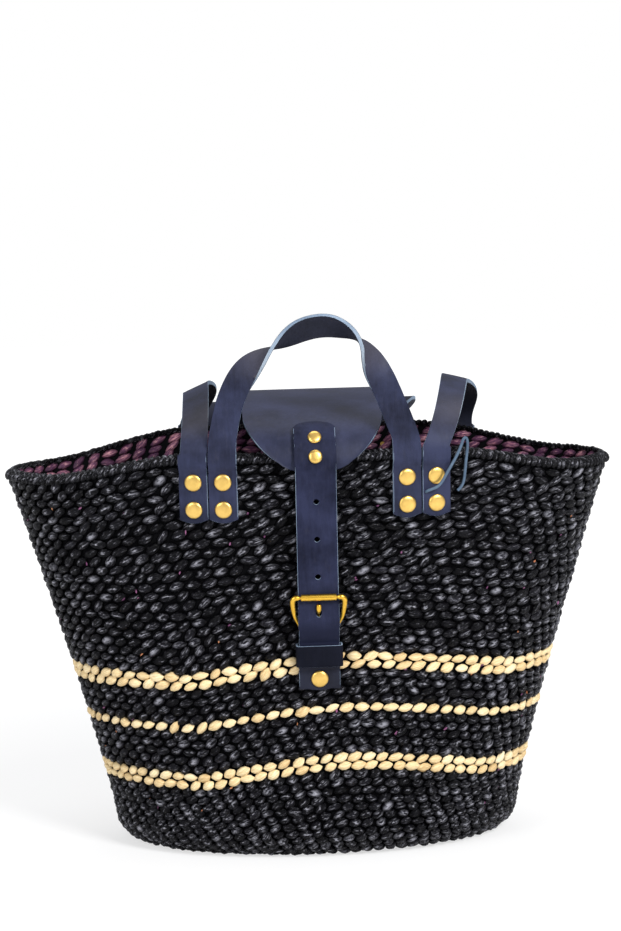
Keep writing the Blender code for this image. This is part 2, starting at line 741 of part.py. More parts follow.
def closure_rivet_places():
    """Base point and axis of each closure rivet on the flap's underside."""
    line = flap_line()
    places = []
    for name, y in CLOSURE_RIVET_YS:
        point, outward = line_frame(line, flap_length_at(line, y))
        places.append((name, Vector((0.0, point.x, point.y)), Vector((0.0, outward.x, outward.y))))
    return places


def drill_closure(target):
    """Punch the row of holes, the prong's stretched hole and the rivet holes."""
    def fill(work):
        for drop in CLOSURE_HOLE_DROPS:
            cylinder(work, front(0.0, RIM_HEIGHT - drop), wall_normal(-0.25 * TURN, 0.5), CLOSURE_HOLE_RADIUS, TOP_N)
        tall = PRONG_HOLE_HALF_HEIGHT / CLOSURE_HOLE_RADIUS
        cylinder(work, front(CLOSURE_THICKNESS, HEEL_Z + PRONG_HOLE_RISE), wall_normal(-0.25 * TURN, 0.5),
                 CLOSURE_HOLE_RADIUS, TOP_N, tall)
        for _, base, axis in closure_rivet_places():
            cylinder(work, base, axis, HOLE_RADIUS, 3.0 * LEATHER)
    drill(target, fill)


def drill_flap(target):
    """Drill the two rivet holes of the flap."""
    def fill(work):
        for _, base, axis in closure_rivet_places():
            cylinder(work, base, axis, HOLE_RADIUS, 2.0 * LEATHER)
    drill(target, fill)


def heel():
    """Middle of the buckle's heel bar."""
    return front(HEEL_N, HEEL_Z)


def make_chape():
    """Build the folded strip that holds the heel bar and is riveted to the wall."""
    centre = heel()
    points = [front(n, HEEL_Z - drop) for drop, n in CHAPE_BACK]
    normal = wall_normal(-0.25 * TURN, 0.5)
    up = Vector((1.0, 0.0, 0.0)).cross(normal)
    up = up if up.z > 0.0 else -up
    for step in range(CHAPE_FOLD_STEPS + 1):
        turn = math.pi * (step / CHAPE_FOLD_STEPS)
        points.append(centre - normal * CHAPE_FOLD * math.cos(turn) + up * CHAPE_FOLD * math.sin(turn))
    points += [front(n, HEEL_Z - drop) for drop, n in CHAPE_FRONT]
    line = [Vector((point.y, point.z)) for point in points]

    def place(u, row, w):
        along = (line[min(row + 1, len(line) - 1)] - line[max(row - 1, 0)]).normalized()
        side = Vector((-along.y, along.x))
        across = 2.0 * u - 1.0
        point = line[row] + side * (w - 0.5) * CHAPE
        if row in (0, len(line) - 1):
            point = point - along * (1 if row else -1) * TAB_END_BULGE * across ** 2
        taper = smooth_share((point.y - HEEL_Z + CHAPE_TAPER_LOW) / (CHAPE_TAPER_LOW - CHAPE_TAPER_HIGH))
        half = CHAPE_HALF_WIDTH + (CHAPE_FOLD_HALF_WIDTH - CHAPE_HALF_WIDTH) * taper
        return Vector((across * half, point.x, point.y))
    item = slab("buckle_chape", place, 4, len(line) - 1, "leather")

    def fill(work):
        low = front(CHAPE_SLOT_IN, HEEL_Z - CHAPE_SLOT_REACH)
        high = front(CHAPE_SLOT_OUT, HEEL_Z + CHAPE_SLOT_REACH)
        middle = 0.5 * (low + high)
        size = (2.0 * CHAPE_SLOT_HALF, abs(high.y - low.y), high.z - low.z)
        bmesh.ops.create_cube(work, size=1.0, matrix=Matrix.Translation(middle) @ Matrix.Diagonal((*size, 1.0)))
        angle, share = wall_place(0.0, HEEL_Z - CHAPE_RIVET_DROP, -1)
        cylinder(work, wall_ring(angle, share), wall_normal(angle, share), HOLE_RADIUS, WALL + 2.0 * LEATHER)
    drill(item, fill)
    return item


def make_keeper():
    """Build the loop that holds the strap's tail down."""
    half = KEEPER_HALF_WIDTH
    path = []
    for cx, cn, start in ((half, KEEPER_FRONT, 0), (-half, KEEPER_FRONT, 1), (-half, KEEPER_BACK, 2), (half, KEEPER_BACK, 3)):
        for step in range(CORNER_STEPS + 1):
            turn = (start + step / CORNER_STEPS) * 0.25 * TURN
            path.append((cx, cn, math.cos(turn), math.sin(turn)))
    path.append(path[0])
    low = HEEL_Z - KEEPER_LOW
    high = HEEL_Z - KEEPER_HIGH
    corners = ((0, low), (1, low), (1, high), (0, high), (0, low))

    def place(u, row):
        cx, cn, side, out = path[round(u * (len(path) - 1))]
        grow, z = corners[row]
        reach = (KEEPER_CORNER + KEEPER_THICKNESS) if grow else KEEPER_CORNER
        x = cx + side * reach - (KEEPER_CORNER if cx > 0.0 else -KEEPER_CORNER)
        n = cn + out * reach - (KEEPER_CORNER if cn > KEEPER_BACK else -KEEPER_CORNER)
        return front(n, z, x)
    return wrapped("keeper_loop", place, len(path) - 1, 4, "leather")


def make_buckle_frame():
    """Build the wire frame of the buckle as one closed tube, thicker at its top corners."""
    low = heel()
    high = front(TOP_N, HEEL_Z + FRAME_RISE)
    left = [(-x, rise, share) for x, rise, share in reversed(FRAME_HALF)]
    points = []
    shares = []
    for x, rise, share in (*FRAME_HALF, *left):
        points.append(low.lerp(high, rise / FRAME_RISE) + Vector((x, 0.0, 0.0)))
        shares.append(share)
    item = tube("buckle_frame", points, BAR_RADIUS, "brass", cyclic=True, shares=shares)
    return seat(item, low)


def make_roller():
    """Build the sleeve that turns on the buckle's top bar."""
    base = front(TOP_N, HEEL_Z + FRAME_RISE)
    profile = [
        (ROLLER_BORE, -ROLLER_HALF), (ROLLER_RADIUS, -ROLLER_HALF), (ROLLER_RADIUS, ROLLER_HALF),
        (ROLLER_BORE, ROLLER_HALF), (ROLLER_BORE, -ROLLER_HALF),
    ]
    return seat(turned("buckle_roller", base, Vector((1.0, 0.0, 0.0)), profile, "brass"), base)


def make_prong():
    """Build the prong: an eye round the heel bar, then out through the strap's hole."""
    centre = heel()
    normal = wall_normal(-0.25 * TURN, 0.5)
    up = Vector((1.0, 0.0, 0.0)).cross(normal)
    up = up if up.z > 0.0 else -up
    points = []
    for step in range(EYE_STEPS + 1):
        turn = EYE_START - (TURN + EYE_START) * step / EYE_STEPS
        points.append(centre + normal * EYE_RADIUS * math.cos(turn) + up * EYE_RADIUS * math.sin(turn))
    points += [front(n, HEEL_Z + rise) for n, rise in PRONG_PATH]
    shares = [PRONG_EYE_SHARE] * (EYE_STEPS + 1) + list(PRONG_TIP_SHARES)
    return seat(tube("buckle_prong", points, PRONG_RADIUS, "brass", shares=shares), centre)


def make_lace():
    """Build the thin tie looped over the right-hand side strap."""
    points = [on_wall(x, min(z, RIM_HEIGHT), -1, n) + Vector((0.0, 0.0, max(z - RIM_HEIGHT, 0.0)))
              for x, z, n in LACE_PATH]
    smooth = spline_points(points, 40)
    return tube("tie_lace", smooth, LACE_RADIUS, "lace", resolution=LACE_BEVEL_RESOLUTION)


def strap_end_list():
    """Every sewn-on strap end as name, sideways place and side."""
    left = SIDE_TABLE["side_strap_left"]
    right = SIDE_TABLE["side_strap_right"]
    return (
        ("front_handle_left", -HANDLE_X, -1), ("front_handle_right", HANDLE_X, -1),
        ("back_handle_left", -HANDLE_X, 1), ("back_handle_right", HANDLE_X, 1),
        ("side_strap_left_front", left[0], -1), ("side_strap_left_back", left[2], 1),
        ("side_strap_right_front", right[0], -1), ("side_strap_right_back", right[2], 1),
    )


def end_holes(prefix):
    """Rivet places of every strap end whose name starts with prefix."""
    return [
        (x, rim_at(x) - drop, side)
        for name, x, side in strap_end_list() if name.startswith(prefix) for drop in RIVET_DROPS
    ]


def make_straps():
    """Build the sewn-on ends and the side straps, each with its rivet holes."""
    for name, x, side in strap_end_list()[:4]:
        tab = make_tab(name.replace("handle_", "handle_tab_"), x, side)
        drill_wall_holes(tab, end_holes(name))
    for name in SIDE_TABLE:
        drill_wall_holes(make_side_strap(name), end_holes(name))


def make_rivets():
    """Build every rivet that passes through the wall."""
    for name, x, side in strap_end_list():
        for level, drop in zip(("upper", "lower"), RIVET_DROPS):
            make_wall_rivet(f"rivet_{name}_{level}", x, rim_at(x) - drop, side, GAP + LEATHER)
    make_wall_rivet("rivet_chape", 0.0, HEEL_Z - CHAPE_RIVET_DROP, -1, CHAPE_FRONT[-1][1] + 0.5 * CHAPE)
    for name, x in FLAP_BASE_RIVETS:
        make_wall_rivet(name, x, RIM_HEIGHT - FLAP_BASE_RIVET_DROP, 1, GAP + LEATHER)
    for name, base, axis in closure_rivet_places():
        make_flush_rivet(name, base, axis)


def main():
    """Build the whole basket."""
    clear_scene()
    shell = make_shell()
    base_holes = [(x, RIM_HEIGHT - FLAP_BASE_RIVET_DROP, 1) for _, x in FLAP_BASE_RIVETS]
    drill_wall_holes(shell, end_holes("") + base_holes + [(0.0, HEEL_Z - CHAPE_RIVET_DROP, -1)])
    make_braid()
    for name, (height, half) in STRIPE_TABLE.items():
        make_stripe(name, height, half)
    make_straps()
    base = make_tab("flap_base", 0.0, 1, width=2.0 * FLAP_HALF_WIDTH, drop=FLAP_BASE_DROP, across=10)
    drill_wall_holes(base, base_holes)
    drill_flap(make_flap())
    drill_closure(make_closure_strap())
    make_handle("front_handle", -1, lean_curve(), FRONT_TWIST)
    make_handle("back_handle", 1, spline_points(FALLEN_POINTS, ARCH_CELLS), BACK_TWIST)
    make_chape()
    make_keeper()
    make_buckle_frame()
    make_roller()
    make_prong()
    make_lace()
    make_rivets()


main()
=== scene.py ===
"""Dressed scene of an oval woven basket with leather straps and a roller buckle.

The CAD frame gives sizes, bodies and joints. This script models the visible
surface of every piece, dresses it, and sets the studio and the camera.
"""
import logging
import math
import random
from dataclasses import dataclass, field
from enum import Enum
from typing import Any, Callable, Sequence

import bmesh
import bpy
import numpy as np
from mathutils import Matrix, Vector


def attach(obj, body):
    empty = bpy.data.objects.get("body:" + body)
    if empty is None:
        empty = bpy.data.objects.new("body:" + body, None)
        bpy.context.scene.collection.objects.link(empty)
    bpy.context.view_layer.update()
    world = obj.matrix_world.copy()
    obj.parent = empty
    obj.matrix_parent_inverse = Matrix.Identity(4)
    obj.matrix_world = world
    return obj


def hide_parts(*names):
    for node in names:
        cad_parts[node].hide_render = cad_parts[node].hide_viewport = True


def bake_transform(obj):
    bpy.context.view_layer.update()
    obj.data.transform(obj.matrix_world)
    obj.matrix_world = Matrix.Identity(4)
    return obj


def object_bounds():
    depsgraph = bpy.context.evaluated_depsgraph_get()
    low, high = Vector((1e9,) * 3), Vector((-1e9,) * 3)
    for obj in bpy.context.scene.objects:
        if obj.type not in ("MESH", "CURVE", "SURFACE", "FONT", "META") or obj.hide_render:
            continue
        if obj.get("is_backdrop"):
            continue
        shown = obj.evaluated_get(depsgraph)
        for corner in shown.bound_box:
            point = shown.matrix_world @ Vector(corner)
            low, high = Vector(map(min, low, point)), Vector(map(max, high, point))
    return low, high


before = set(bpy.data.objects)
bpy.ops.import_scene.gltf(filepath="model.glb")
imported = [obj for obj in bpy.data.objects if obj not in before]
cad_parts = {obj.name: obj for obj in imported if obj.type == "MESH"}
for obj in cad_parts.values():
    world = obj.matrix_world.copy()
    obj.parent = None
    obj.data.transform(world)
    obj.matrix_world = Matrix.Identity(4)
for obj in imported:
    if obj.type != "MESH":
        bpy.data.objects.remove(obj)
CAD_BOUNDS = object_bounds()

LOG = logging.getLogger("basket")
TURN = 2.0 * math.pi
MILLIMETRE = 0.001
GAP = 0.0003
MERGE = 0.00001
SEED = 7

Place = Callable[[float, int, float], Vector]


class Side(Enum):
    """The two long sides of the basket."""

    FRONT = -1
    BACK = 1


# ---------------------------------------------------------------- shader maths


class Wire:
    """One output socket, with Python's operators as Math nodes."""

    def __init__(self, web: "Web", socket: Any) -> None:
        """Keep the web of nodes and the socket."""
        self.web = web
        self.socket = socket

    def maths(self, operation: str, *others: Any) -> "Wire":
        """Add a Math node on this socket and others.

        Args:
            operation: Name of the Math node's operation.
            others: Further values or wires.

        Returns:
            The result as a wire.
        """
        values = dict(enumerate((self, *others)))
        return self.web.node("ShaderNodeMath", {"operation": operation}, values)

    def __add__(self, other: Any) -> "Wire":
        """Return the sum."""
        return self.maths("ADD", other)

    __radd__ = __add__

    def __mul__(self, other: Any) -> "Wire":
        """Return the product."""
        return self.maths("MULTIPLY", other)

    __rmul__ = __mul__

    def __sub__(self, other: Any) -> "Wire":
        """Return the difference."""
        return self.maths("SUBTRACT", other)

    def __rsub__(self, other: Any) -> "Wire":
        """Return the reflected difference."""
        return self.web.node("ShaderNodeMath", {"operation": "SUBTRACT"}, {0: other, 1: self})

    def __pow__(self, other: Any) -> "Wire":
        """Return the power."""
        return self.maths("POWER", other)

    def clamp(self) -> "Wire":
        """Limit the value to the range from 0 to 1."""
        return self.web.node("ShaderNodeClamp", {}, {0: self})


class Web:
    """The node tree of one material."""

    def __init__(self, name: str) -> None:
        """Make an empty material with a Principled shader."""
        self.material = bpy.data.materials.new(name)
        self.material.use_nodes = True
        self.tree = self.material.node_tree
        self.shader = self.tree.nodes["Principled BSDF"]
        self.output = self.tree.nodes["Material Output"]

    def node(self, kind: str, settings: dict[str, Any], inputs: dict[Any, Any], output: Any = 0) -> Wire:
        """Make one node.

        Args:
            kind: The node's type name.
            settings: Properties set first; "stops" fills a colour ramp.
            inputs: Values or wires by socket index or name.
            output: Index or name of the output socket to return.

        Returns:
            The chosen output as a wire.
        """
        made = self.tree.nodes.new(kind)
        for key, value in settings.items():
            if key == "stops":
                self.fill_ramp(made.color_ramp, value)
            else:
                setattr(made, key, value)
        for key, value in inputs.items():
            self.feed(made.inputs[key], value)
        return Wire(self, made.outputs[output])

    def feed(self, socket: Any, value: Any) -> None:
        """Link a wire to a socket, or set its value."""
        if isinstance(value, Wire):
            self.tree.links.new(value.socket, socket)
        else:
            socket.default_value = value

    @staticmethod
    def fill_ramp(ramp: Any, stops: Sequence[tuple[float, Sequence[float]]]) -> None:
        """Fill a colour ramp with (place, colour) stops."""
        while len(ramp.elements) < len(stops):
            ramp.elements.new(1.0)
        for element, (place, colour) in zip(ramp.elements, stops):
            element.position = place
            element.color = (*colour, 1.0)

    def mix(self, share: Any, first: Any, second: Any) -> Wire:
        """Mix two colours by a share."""
        pick = [value if isinstance(value, Wire) else (*value, 1.0) for value in (first, second)]
        return self.node("ShaderNodeMix", {"data_type": "RGBA"}, {0: share, 6: pick[0], 7: pick[1]}, 2)

    def noise(self, where: Wire, scale: float, detail: float = 2.0, roughness: float = 0.5) -> Wire:
        """Return a noise value at a place."""
        return self.node("ShaderNodeTexNoise", {}, {
            "Vector": where, "Scale": scale, "Detail": detail, "Roughness": roughness})

    def stretch(self, where: Wire, scale: Sequence[float]) -> Wire:
        """Scale a coordinate."""
        return self.node("ShaderNodeMapping", {}, {"Vector": where, "Scale": tuple(scale)})

    def here(self) -> Wire:
        """Return the Object coordinate."""
        return self.node("ShaderNodeTexCoord", {}, {}, "Object")

    def attribute(self, name: str) -> Wire:
        """Return the value of a named attribute."""
        return self.node("ShaderNodeAttribute", {"attribute_name": name}, {}, "Fac")

    def bump(self, height: Wire, strength: float, distance: float) -> Wire:
        """Return a normal bumped by a height."""
        return self.node("ShaderNodeBump", {}, {"Height": height, "Strength": strength, "Distance": distance})

    def set(self, **values: Any) -> None:
        """Feed the Principled shader; underscores stand for spaces."""
        for key, value in values.items():
            socket = self.shader.inputs[key.replace("_", " ")]
            if not isinstance(value, Wire) and isinstance(value, tuple) and len(value) == 3:
                value = (*value, 1.0) if socket.type == "RGBA" else value
            self.feed(socket, value)


Colour = tuple[float, float, float]


@dataclass(frozen=True)
class StitchFinish:
    """Dyed or natural plant fibre, twisted into stitches."""

    name: str
    deep: Colour
    middle: Colour
    glint: Colour
    roughness: float = 0.5
    relief: float = 0.8
    gloss: float = 0.5
    depth: float = 0.0012
    # Painted glint colour and its share, then the share of painted shade at the stitch edges.
    painted_glint: Colour = (0.40, 0.41, 0.46)
    painted_glint_share: float = 0.0
    shadow: float = 0.0

    def material(self) -> bpy.types.Material:
        """Build the material from the stitch UV map and its tone attribute, with painted glints and painted shade at
        the stitch edges.
        """
        web = Web(self.name)
        tone = web.attribute("tone")
        uv = web.node("ShaderNodeUVMap", {"uv_map": "stitch"}, {})
        shifted = web.node("ShaderNodeVectorMath", {"operation": "ADD"}, {
            0: web.stretch(uv, (2.2, 12.0, 1.0)),
            1: web.node("ShaderNodeCombineXYZ", {}, {0: tone * 31.0, 1: tone * 17.0, 2: tone * 53.0})})
        strands = web.noise(shifted, 1.0, 3.0, 0.65)
        crumple = web.noise(web.stretch(shifted, (1.5, 0.36, 1.0)), 1.0, 2.0, 0.6)
        shade = (tone * 0.45 + strands * 1.25 - 0.35).clamp()
        # The top stop paints glint streaks on the fibre: partly its paler strands, partly painted highlight.
        colour = web.node("ShaderNodeValToRGB", {"stops": (
            (0.18, self.deep), (0.55, self.middle), (0.92, self.glint))}, {0: shade})
        # Painted shade: the colour falls to the deep colour towards the stitch's edges and ends.
        middle = web.node("ShaderNodeVectorMath", {"operation": "DISTANCE"}, {
            0: uv, 1: (0.5, 0.56, 0.0)}, "Value")
        edge = (1.30 - middle * 2.6).clamp()
        # Painted glints: bright flecks where the fibre noise peaks, faded out towards the stitch edges.
        painted_glint = ((strands * 0.5 + crumple * 0.7 + tone * 0.16 - 0.70) * 13.0).clamp() * edge * self.painted_glint_share
        colour = web.mix((1.0 - edge) * self.shadow, web.mix(painted_glint, colour, self.painted_glint), self.deep)
        web.set(Base_Color=colour, Roughness=(strands * -0.25 + (self.roughness + 0.12)).clamp(),
                Normal=web.bump(strands * 0.6 + crumple * 0.9, self.relief, self.depth))
        web.shader.inputs["Specular IOR Level"].default_value = self.gloss
        return web.material


@dataclass(frozen=True)
class CoreFibreShadeFinish:
    """Dark warp fibre seen between the stitches, kept near black as painted shade in the gaps."""

    name: str
    deep: Colour
    light: Colour

    def material(self) -> bpy.types.Material:
        """Build the material from Object coordinates."""
        web = Web(self.name)
        here = web.here()
        fibre = web.noise(web.stretch(here, (1.0, 1.0, 0.15)), 900.0, 3.0, 0.6)
        colour = web.mix(fibre, self.deep, self.light)
        web.set(Base_Color=colour, Roughness=0.9, Normal=web.bump(fibre, 0.5, 0.0005))
        web.shader.inputs["Specular IOR Level"].default_value = 0.05
        return web.material


@dataclass(frozen=True)
class LeatherFinish:
    """Oiled leather: mottled colour, fine grain, and scuffed places that also carry painted highlight on the bends."""

    name: str
    dark: Colour
    light: Colour
    worn_and_sheen: Colour
    roughness: float = 0.5
    grain: float = 0.25
    grain_scale: float = 900.0
    gloss: float = 0.30
    darker_below: float = 0.0

    def material(self) -> bpy.types.Material:
        """Build the material from Object coordinates and the wear attribute, which also carries painted highlight."""
        web = Web(self.name)
        here = web.here()
        cloud = web.noise(here, 32.0, 4.0, 0.6)
        fine = web.noise(here, self.grain_scale, 3.0, 0.65)
        pores = web.node("ShaderNodeTexVoronoi", {}, {"Vector": here, "Scale": 1.3 * self.grain_scale})
        scuff = web.noise(web.stretch(here, (1.0, 1.0, 0.25)), 260.0, 4.0, 0.7)
        streak = web.noise(web.stretch(here, (1.0, 1.0, 0.12)), 420.0, 3.0, 0.6)
        base = web.mix((cloud * 3.0 + streak * 0.8 - 1.4).clamp(), self.dark, self.light)
        speck = ((scuff - 0.56) * 4.0).clamp()
        # The scuff colour is real scuffing and also painted highlight where the attribute peaks on the bends.
        worn_and_sheen = (web.attribute("wear_and_sheen") * (cloud * 0.9 + 0.55) + speck * 0.16).clamp()
        colour = web.mix(worn_and_sheen, base, self.worn_and_sheen)
        colour = web.mix((fine * 0.18).clamp(), colour, self.dark)
        # Darker towards the bottom, below this height.
        if self.darker_below:
            level = web.node("ShaderNodeSeparateXYZ", {}, {"Vector": here}, "Z")
            colour = web.mix((level * -100.0 + self.darker_below * 100.0).clamp() * 0.8, colour, self.dark)
        height = fine * 0.6 + pores * 0.4
        web.set(Base_Color=colour, Roughness=(cloud * 0.18 + fine * 0.12 + (self.roughness - 0.14)).clamp(),
                Normal=web.bump(height, self.grain, 0.0003))
        web.shader.inputs["Specular IOR Level"].default_value = self.gloss
        return web.material


@dataclass(frozen=True)
class BrassFinish:
    """Polished brass with brushed and dulled places."""

    name: str
    bright: Colour
    dull: Colour
    roughness: float = 0.24

    def material(self) -> bpy.types.Material:
        """Build the material from Object coordinates."""
        web = Web(self.name)
        here = web.here()
        cloud = web.noise(here, 240.0, 4.0, 0.6)
        hair = web.noise(web.stretch(here, (1.0, 0.2, 0.2)), 2200.0, 2.0, 0.6)
        colour = web.mix((cloud * 1.6 - 0.4).clamp(), self.bright, self.dull)
        web.set(Base_Color=colour, Metallic=1.0,
                Roughness=(cloud * 0.22 + hair * 0.1 + (self.roughness - 0.12)).clamp(),
                Normal=web.bump(cloud * 0.7 + hair * 0.3, 0.12, 0.0003))
        return web.material


# ---------------------------------------------------------------- wall and helpers


def smooth(share: float) -> float:
    """Ease a share from 0 to 1."""
    share = min(max(share, 0.0), 1.0)
    return share * share * (3.0 - 2.0 * share)


def curve_through(points: Sequence[Sequence[float]], steps: int) -> list[Vector]:
    """Resample points by a Catmull-Rom curve, evenly along its length.

    Args:
        points: The points to pass through.
        steps: Number of even steps.

    Returns:
        steps + 1 points.
    """
    given = np.array(points, float)
    ends = np.vstack([2.0 * given[0] - given[1], given, 2.0 * given[-1] - given[-2]])
    fine = np.linspace(0.0, 1.0, 24, endpoint=False)[:, None]
    dense = []
    for index in range(len(given) - 1):
        first, second, third, fourth = ends[index:index + 4]
        dense.append(0.5 * (2.0 * second + (third - first) * fine
                            + (2.0 * first - 5.0 * second + 4.0 * third - fourth) * fine ** 2
                            + (3.0 * second - first - 3.0 * third + fourth) * fine ** 3))
    dense = np.vstack([*dense, given[-1:]])
    lengths = np.concatenate([[0.0], np.cumsum(np.linalg.norm(np.diff(dense, axis=0), axis=1))])
    wanted = np.linspace(0.0, lengths[-1], steps + 1)
    columns = [np.interp(wanted, lengths, dense[:, axis]) for axis in range(dense.shape[1])]
    return [Vector(row) for row in np.stack(columns, axis=1)]


def path_length(line: Sequence[Vector]) -> float:
    """Length of a line of points."""
    return sum((after - before).length for before, after in zip(line, line[1:]))


@dataclass(frozen=True)
class Wall:
    """The basket's wall: an ellipse that flares from the knee to the rim."""

    rim_half_width: float = 0.230
    rim_half_depth: float = 0.118
    rim_height: float = 0.307
    corner_dip: float = 0.017
    corner_start_share: float = 0.40
    corner_end_share: float = 0.90
    knee_half_width: float = 0.155
    knee_half_depth: float = 0.092
    knee: float = 0.025
    flare_power: float = 1.12
    thickness: float = 0.006
    braid_width: float = 0.009
    braid_height: float = 0.007
    braid_bulge: float = 0.0015

    @property
    def knee_arc(self) -> float:
        """Length of the rounded knee."""
        return 0.25 * TURN * self.knee

    @property
    def rise(self) -> float:
        """Length of the wall above the knee."""
        return math.hypot(self.rim_height - self.knee, self.rim_half_depth - self.knee_half_depth)

    def dip(self, cosine: float) -> float:
        """Share of the corner's dip at a cosine of the angle."""
        span = self.corner_end_share - self.corner_start_share
        return smooth((abs(cosine) - self.corner_start_share) / span)

    def rim(self, angle: float) -> float:
        """Height of the rim at an angle."""
        return self.rim_height - self.corner_dip * self.dip(math.cos(angle))

    def half_width(self, share: float) -> float:
        """Half width at a share of the height."""
        grown = max(share, 0.0) ** self.flare_power
        return self.knee_half_width + (self.rim_half_width - self.knee_half_width) * grown

    def half_depth(self, share: float) -> float:
        """Half depth at a share of the height."""
        return self.knee_half_depth + (self.rim_half_depth - self.knee_half_depth) * share

    def ring(self, angle: float, share: float) -> Vector:
        """Point of the outer wall."""
        height = self.knee + (self.rim(angle) - self.knee) * share
        return Vector((self.half_width(share) * math.cos(angle), self.half_depth(share) * math.sin(angle), height))

    def normal(self, angle: float, share: float) -> Vector:
        """Outward normal of the wall."""
        step = 0.0005
        along = self.ring(angle + step, share) - self.ring(angle - step, share)
        up = self.ring(angle, share + step) - self.ring(angle, share - step)
        return along.cross(up).normalized()

    def find(self, x: float, z: float, side: Side) -> tuple[float, float]:
        """Angle and share of the wall point at x and z on one side."""
        share = (z - self.knee) / (self.rim_height - self.knee)
        angle = 0.0
        for _ in range(8):
            angle = side.value * math.acos(x / self.half_width(share))
            share = (z - self.knee) / (self.rim(angle) - self.knee)
        return angle, share

    def on(self, x: float, z: float, side: Side, offset: float) -> Vector:
        """Point at a distance off the wall."""
        angle, share = self.find(x, z, side)
        return self.ring(angle, share) + self.normal(angle, share) * offset

    def front(self, n: float, z: float, x: float = 0.0) -> Vector:
        """Point in front of the wall's middle line."""
        return self.on(0.0, z, Side.FRONT, n) + Vector((x, 0.0, 0.0))

    def rim_at(self, x: float) -> float:
        """Height of the rim over x."""
        return self.rim(math.acos(x / self.rim_half_width))

    def lift(self, drop: float) -> float:
        """Distance that a strap keeps off the wall at a drop below the rim."""
        return GAP + (self.braid_bulge + GAP) * smooth((0.0135 - drop) / 0.005)

    def profile(self, angle: float, length: float, offset: float) -> Vector:
        """Point at a length up the section from the base's edge, moved off by offset."""
        if length >= self.knee_arc:
            share = (length - self.knee_arc) / self.rise
            return self.ring(angle, share) + self.normal(angle, share) * offset
        base = self.ring(angle, 0.0)
        out = self.normal(angle, 0.0)
        out = Vector((out.x, out.y, 0.0)).normalized()
        turn = (1.0 - length / self.knee_arc) * 0.25 * TURN
        radius = self.knee + offset
        return base - out * self.knee + out * radius * math.cos(turn) - Vector((0.0, 0.0, radius * math.sin(turn)))


WALL = Wall()


def ellipse_angles(half_width: float, half_depth: float, count: int, shift: float) -> np.ndarray:
    """Angles that cut an ellipse into pieces of even length."""
    fine = np.linspace(-0.25 * TURN, 0.75 * TURN, 721)
    steps = np.hypot(half_width * np.sin(fine), half_depth * np.cos(fine))
    lengths = np.concatenate([[0.0], np.cumsum(0.5 * (steps[1:] + steps[:-1]))])
    wanted = (np.arange(count) + shift) / count % 1.0 * lengths[-1]
    return np.interp(wanted, lengths, fine)


def link(name: str, data: bpy.types.ID) -> bpy.types.Object:
    """Make an object of a mesh or curve in the scene."""
    item = bpy.data.objects.new(name, data)
    bpy.context.scene.collection.objects.link(item)
    return item


def finish(name: str, work: bmesh.types.BMesh, materials: Sequence[bpy.types.Material], angle: float = 38.0) -> bpy.types.Object:
    """Turn a bmesh into a shaded object.

    Args:
        name: The piece's name.
        work: The mesh in the making, freed here.
        materials: One material per index.
        angle: Edges sharper than this many degrees stay crisp.

    Returns:
        The object.
    """
    data = bpy.data.meshes.new(name)
    work.to_mesh(data)
    work.free()
    data.shade_smooth()
    data.set_sharp_from_angle(angle=math.radians(angle))
    for material in materials:
        data.materials.append(material)
    return link(name, data)


def dress(item: bpy.types.Object, body: str, slot: str, *nodes: str) -> bpy.types.Object:
    """Ride a piece on a body and hide the CAD nodes it replaces."""
    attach(item, body)
    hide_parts(*nodes)
    LOG.info("%s rides on %s", item.name, body)
    return item


def strip(
    name: str,
    place: Place,
    across: int,
    along: int,
    materials: Sequence[bpy.types.Material],
    wear_and_sheen: Callable[[float, int], float] | None = None,
    rounding: float = 0.00045,
) -> bpy.types.Object:
    """Make a leather strip: a grid, extruded, placed, and rounded along its cut edges.

    Args:
        name: The piece's name.
        place: Gives the point at a share across, a row and a share of the thickness.
        across: Cells across.
        along: Cells along.
        materials: Grain side, flesh side and cut edge.
        wear_and_sheen: Gives how scuffed the grain is, and how much highlight is painted on it, at a share across and a
            row.
        rounding: Radius of the cut edges.

    Returns:
        The object.
    """
    work = bmesh.new()
    bmesh.ops.create_grid(work, x_segments=across, y_segments=along, size=0.5)
    grown = bmesh.ops.extrude_face_region(work, geom=list(work.faces), use_keep_orig=True)
    for part in grown["geom"]:
        if isinstance(part, bmesh.types.BMVert):
            part.co.z = 1.0
    # Per-vertex amount of scuffing and of painted highlight.
    wear_and_sheen_layer = work.verts.layers.float.new("wear_and_sheen")
    for face in work.faces:
        heights = {vertex.co.z for vertex in face.verts}
        face.material_index = 2 if len(heights) > 1 else (0 if heights == {1.0} else 1)
    for vertex in work.verts:
        row = round((vertex.co.y + 0.5) * along)
        u = vertex.co.x + 0.5
        vertex[wear_and_sheen_layer] = wear_and_sheen(u, row) if wear_and_sheen else 0.0
        vertex.co = place(u, row, vertex.co.z)
    rims = [edge for edge in work.edges
            if len(edge.link_faces) == 2 and 2 in {face.material_index for face in edge.link_faces}
            and len({face.material_index for face in edge.link_faces}) == 2]
    bmesh.ops.bevel(work, geom=rims, offset=rounding, offset_type="OFFSET", segments=2, profile=0.5,
                    affect="EDGES", material=-1)
    bmesh.ops.recalc_face_normals(work, faces=work.faces)
    if work.calc_volume(signed=True) < 0.0:
        bmesh.ops.reverse_faces(work, faces=work.faces)
    return finish(name, work, materials)


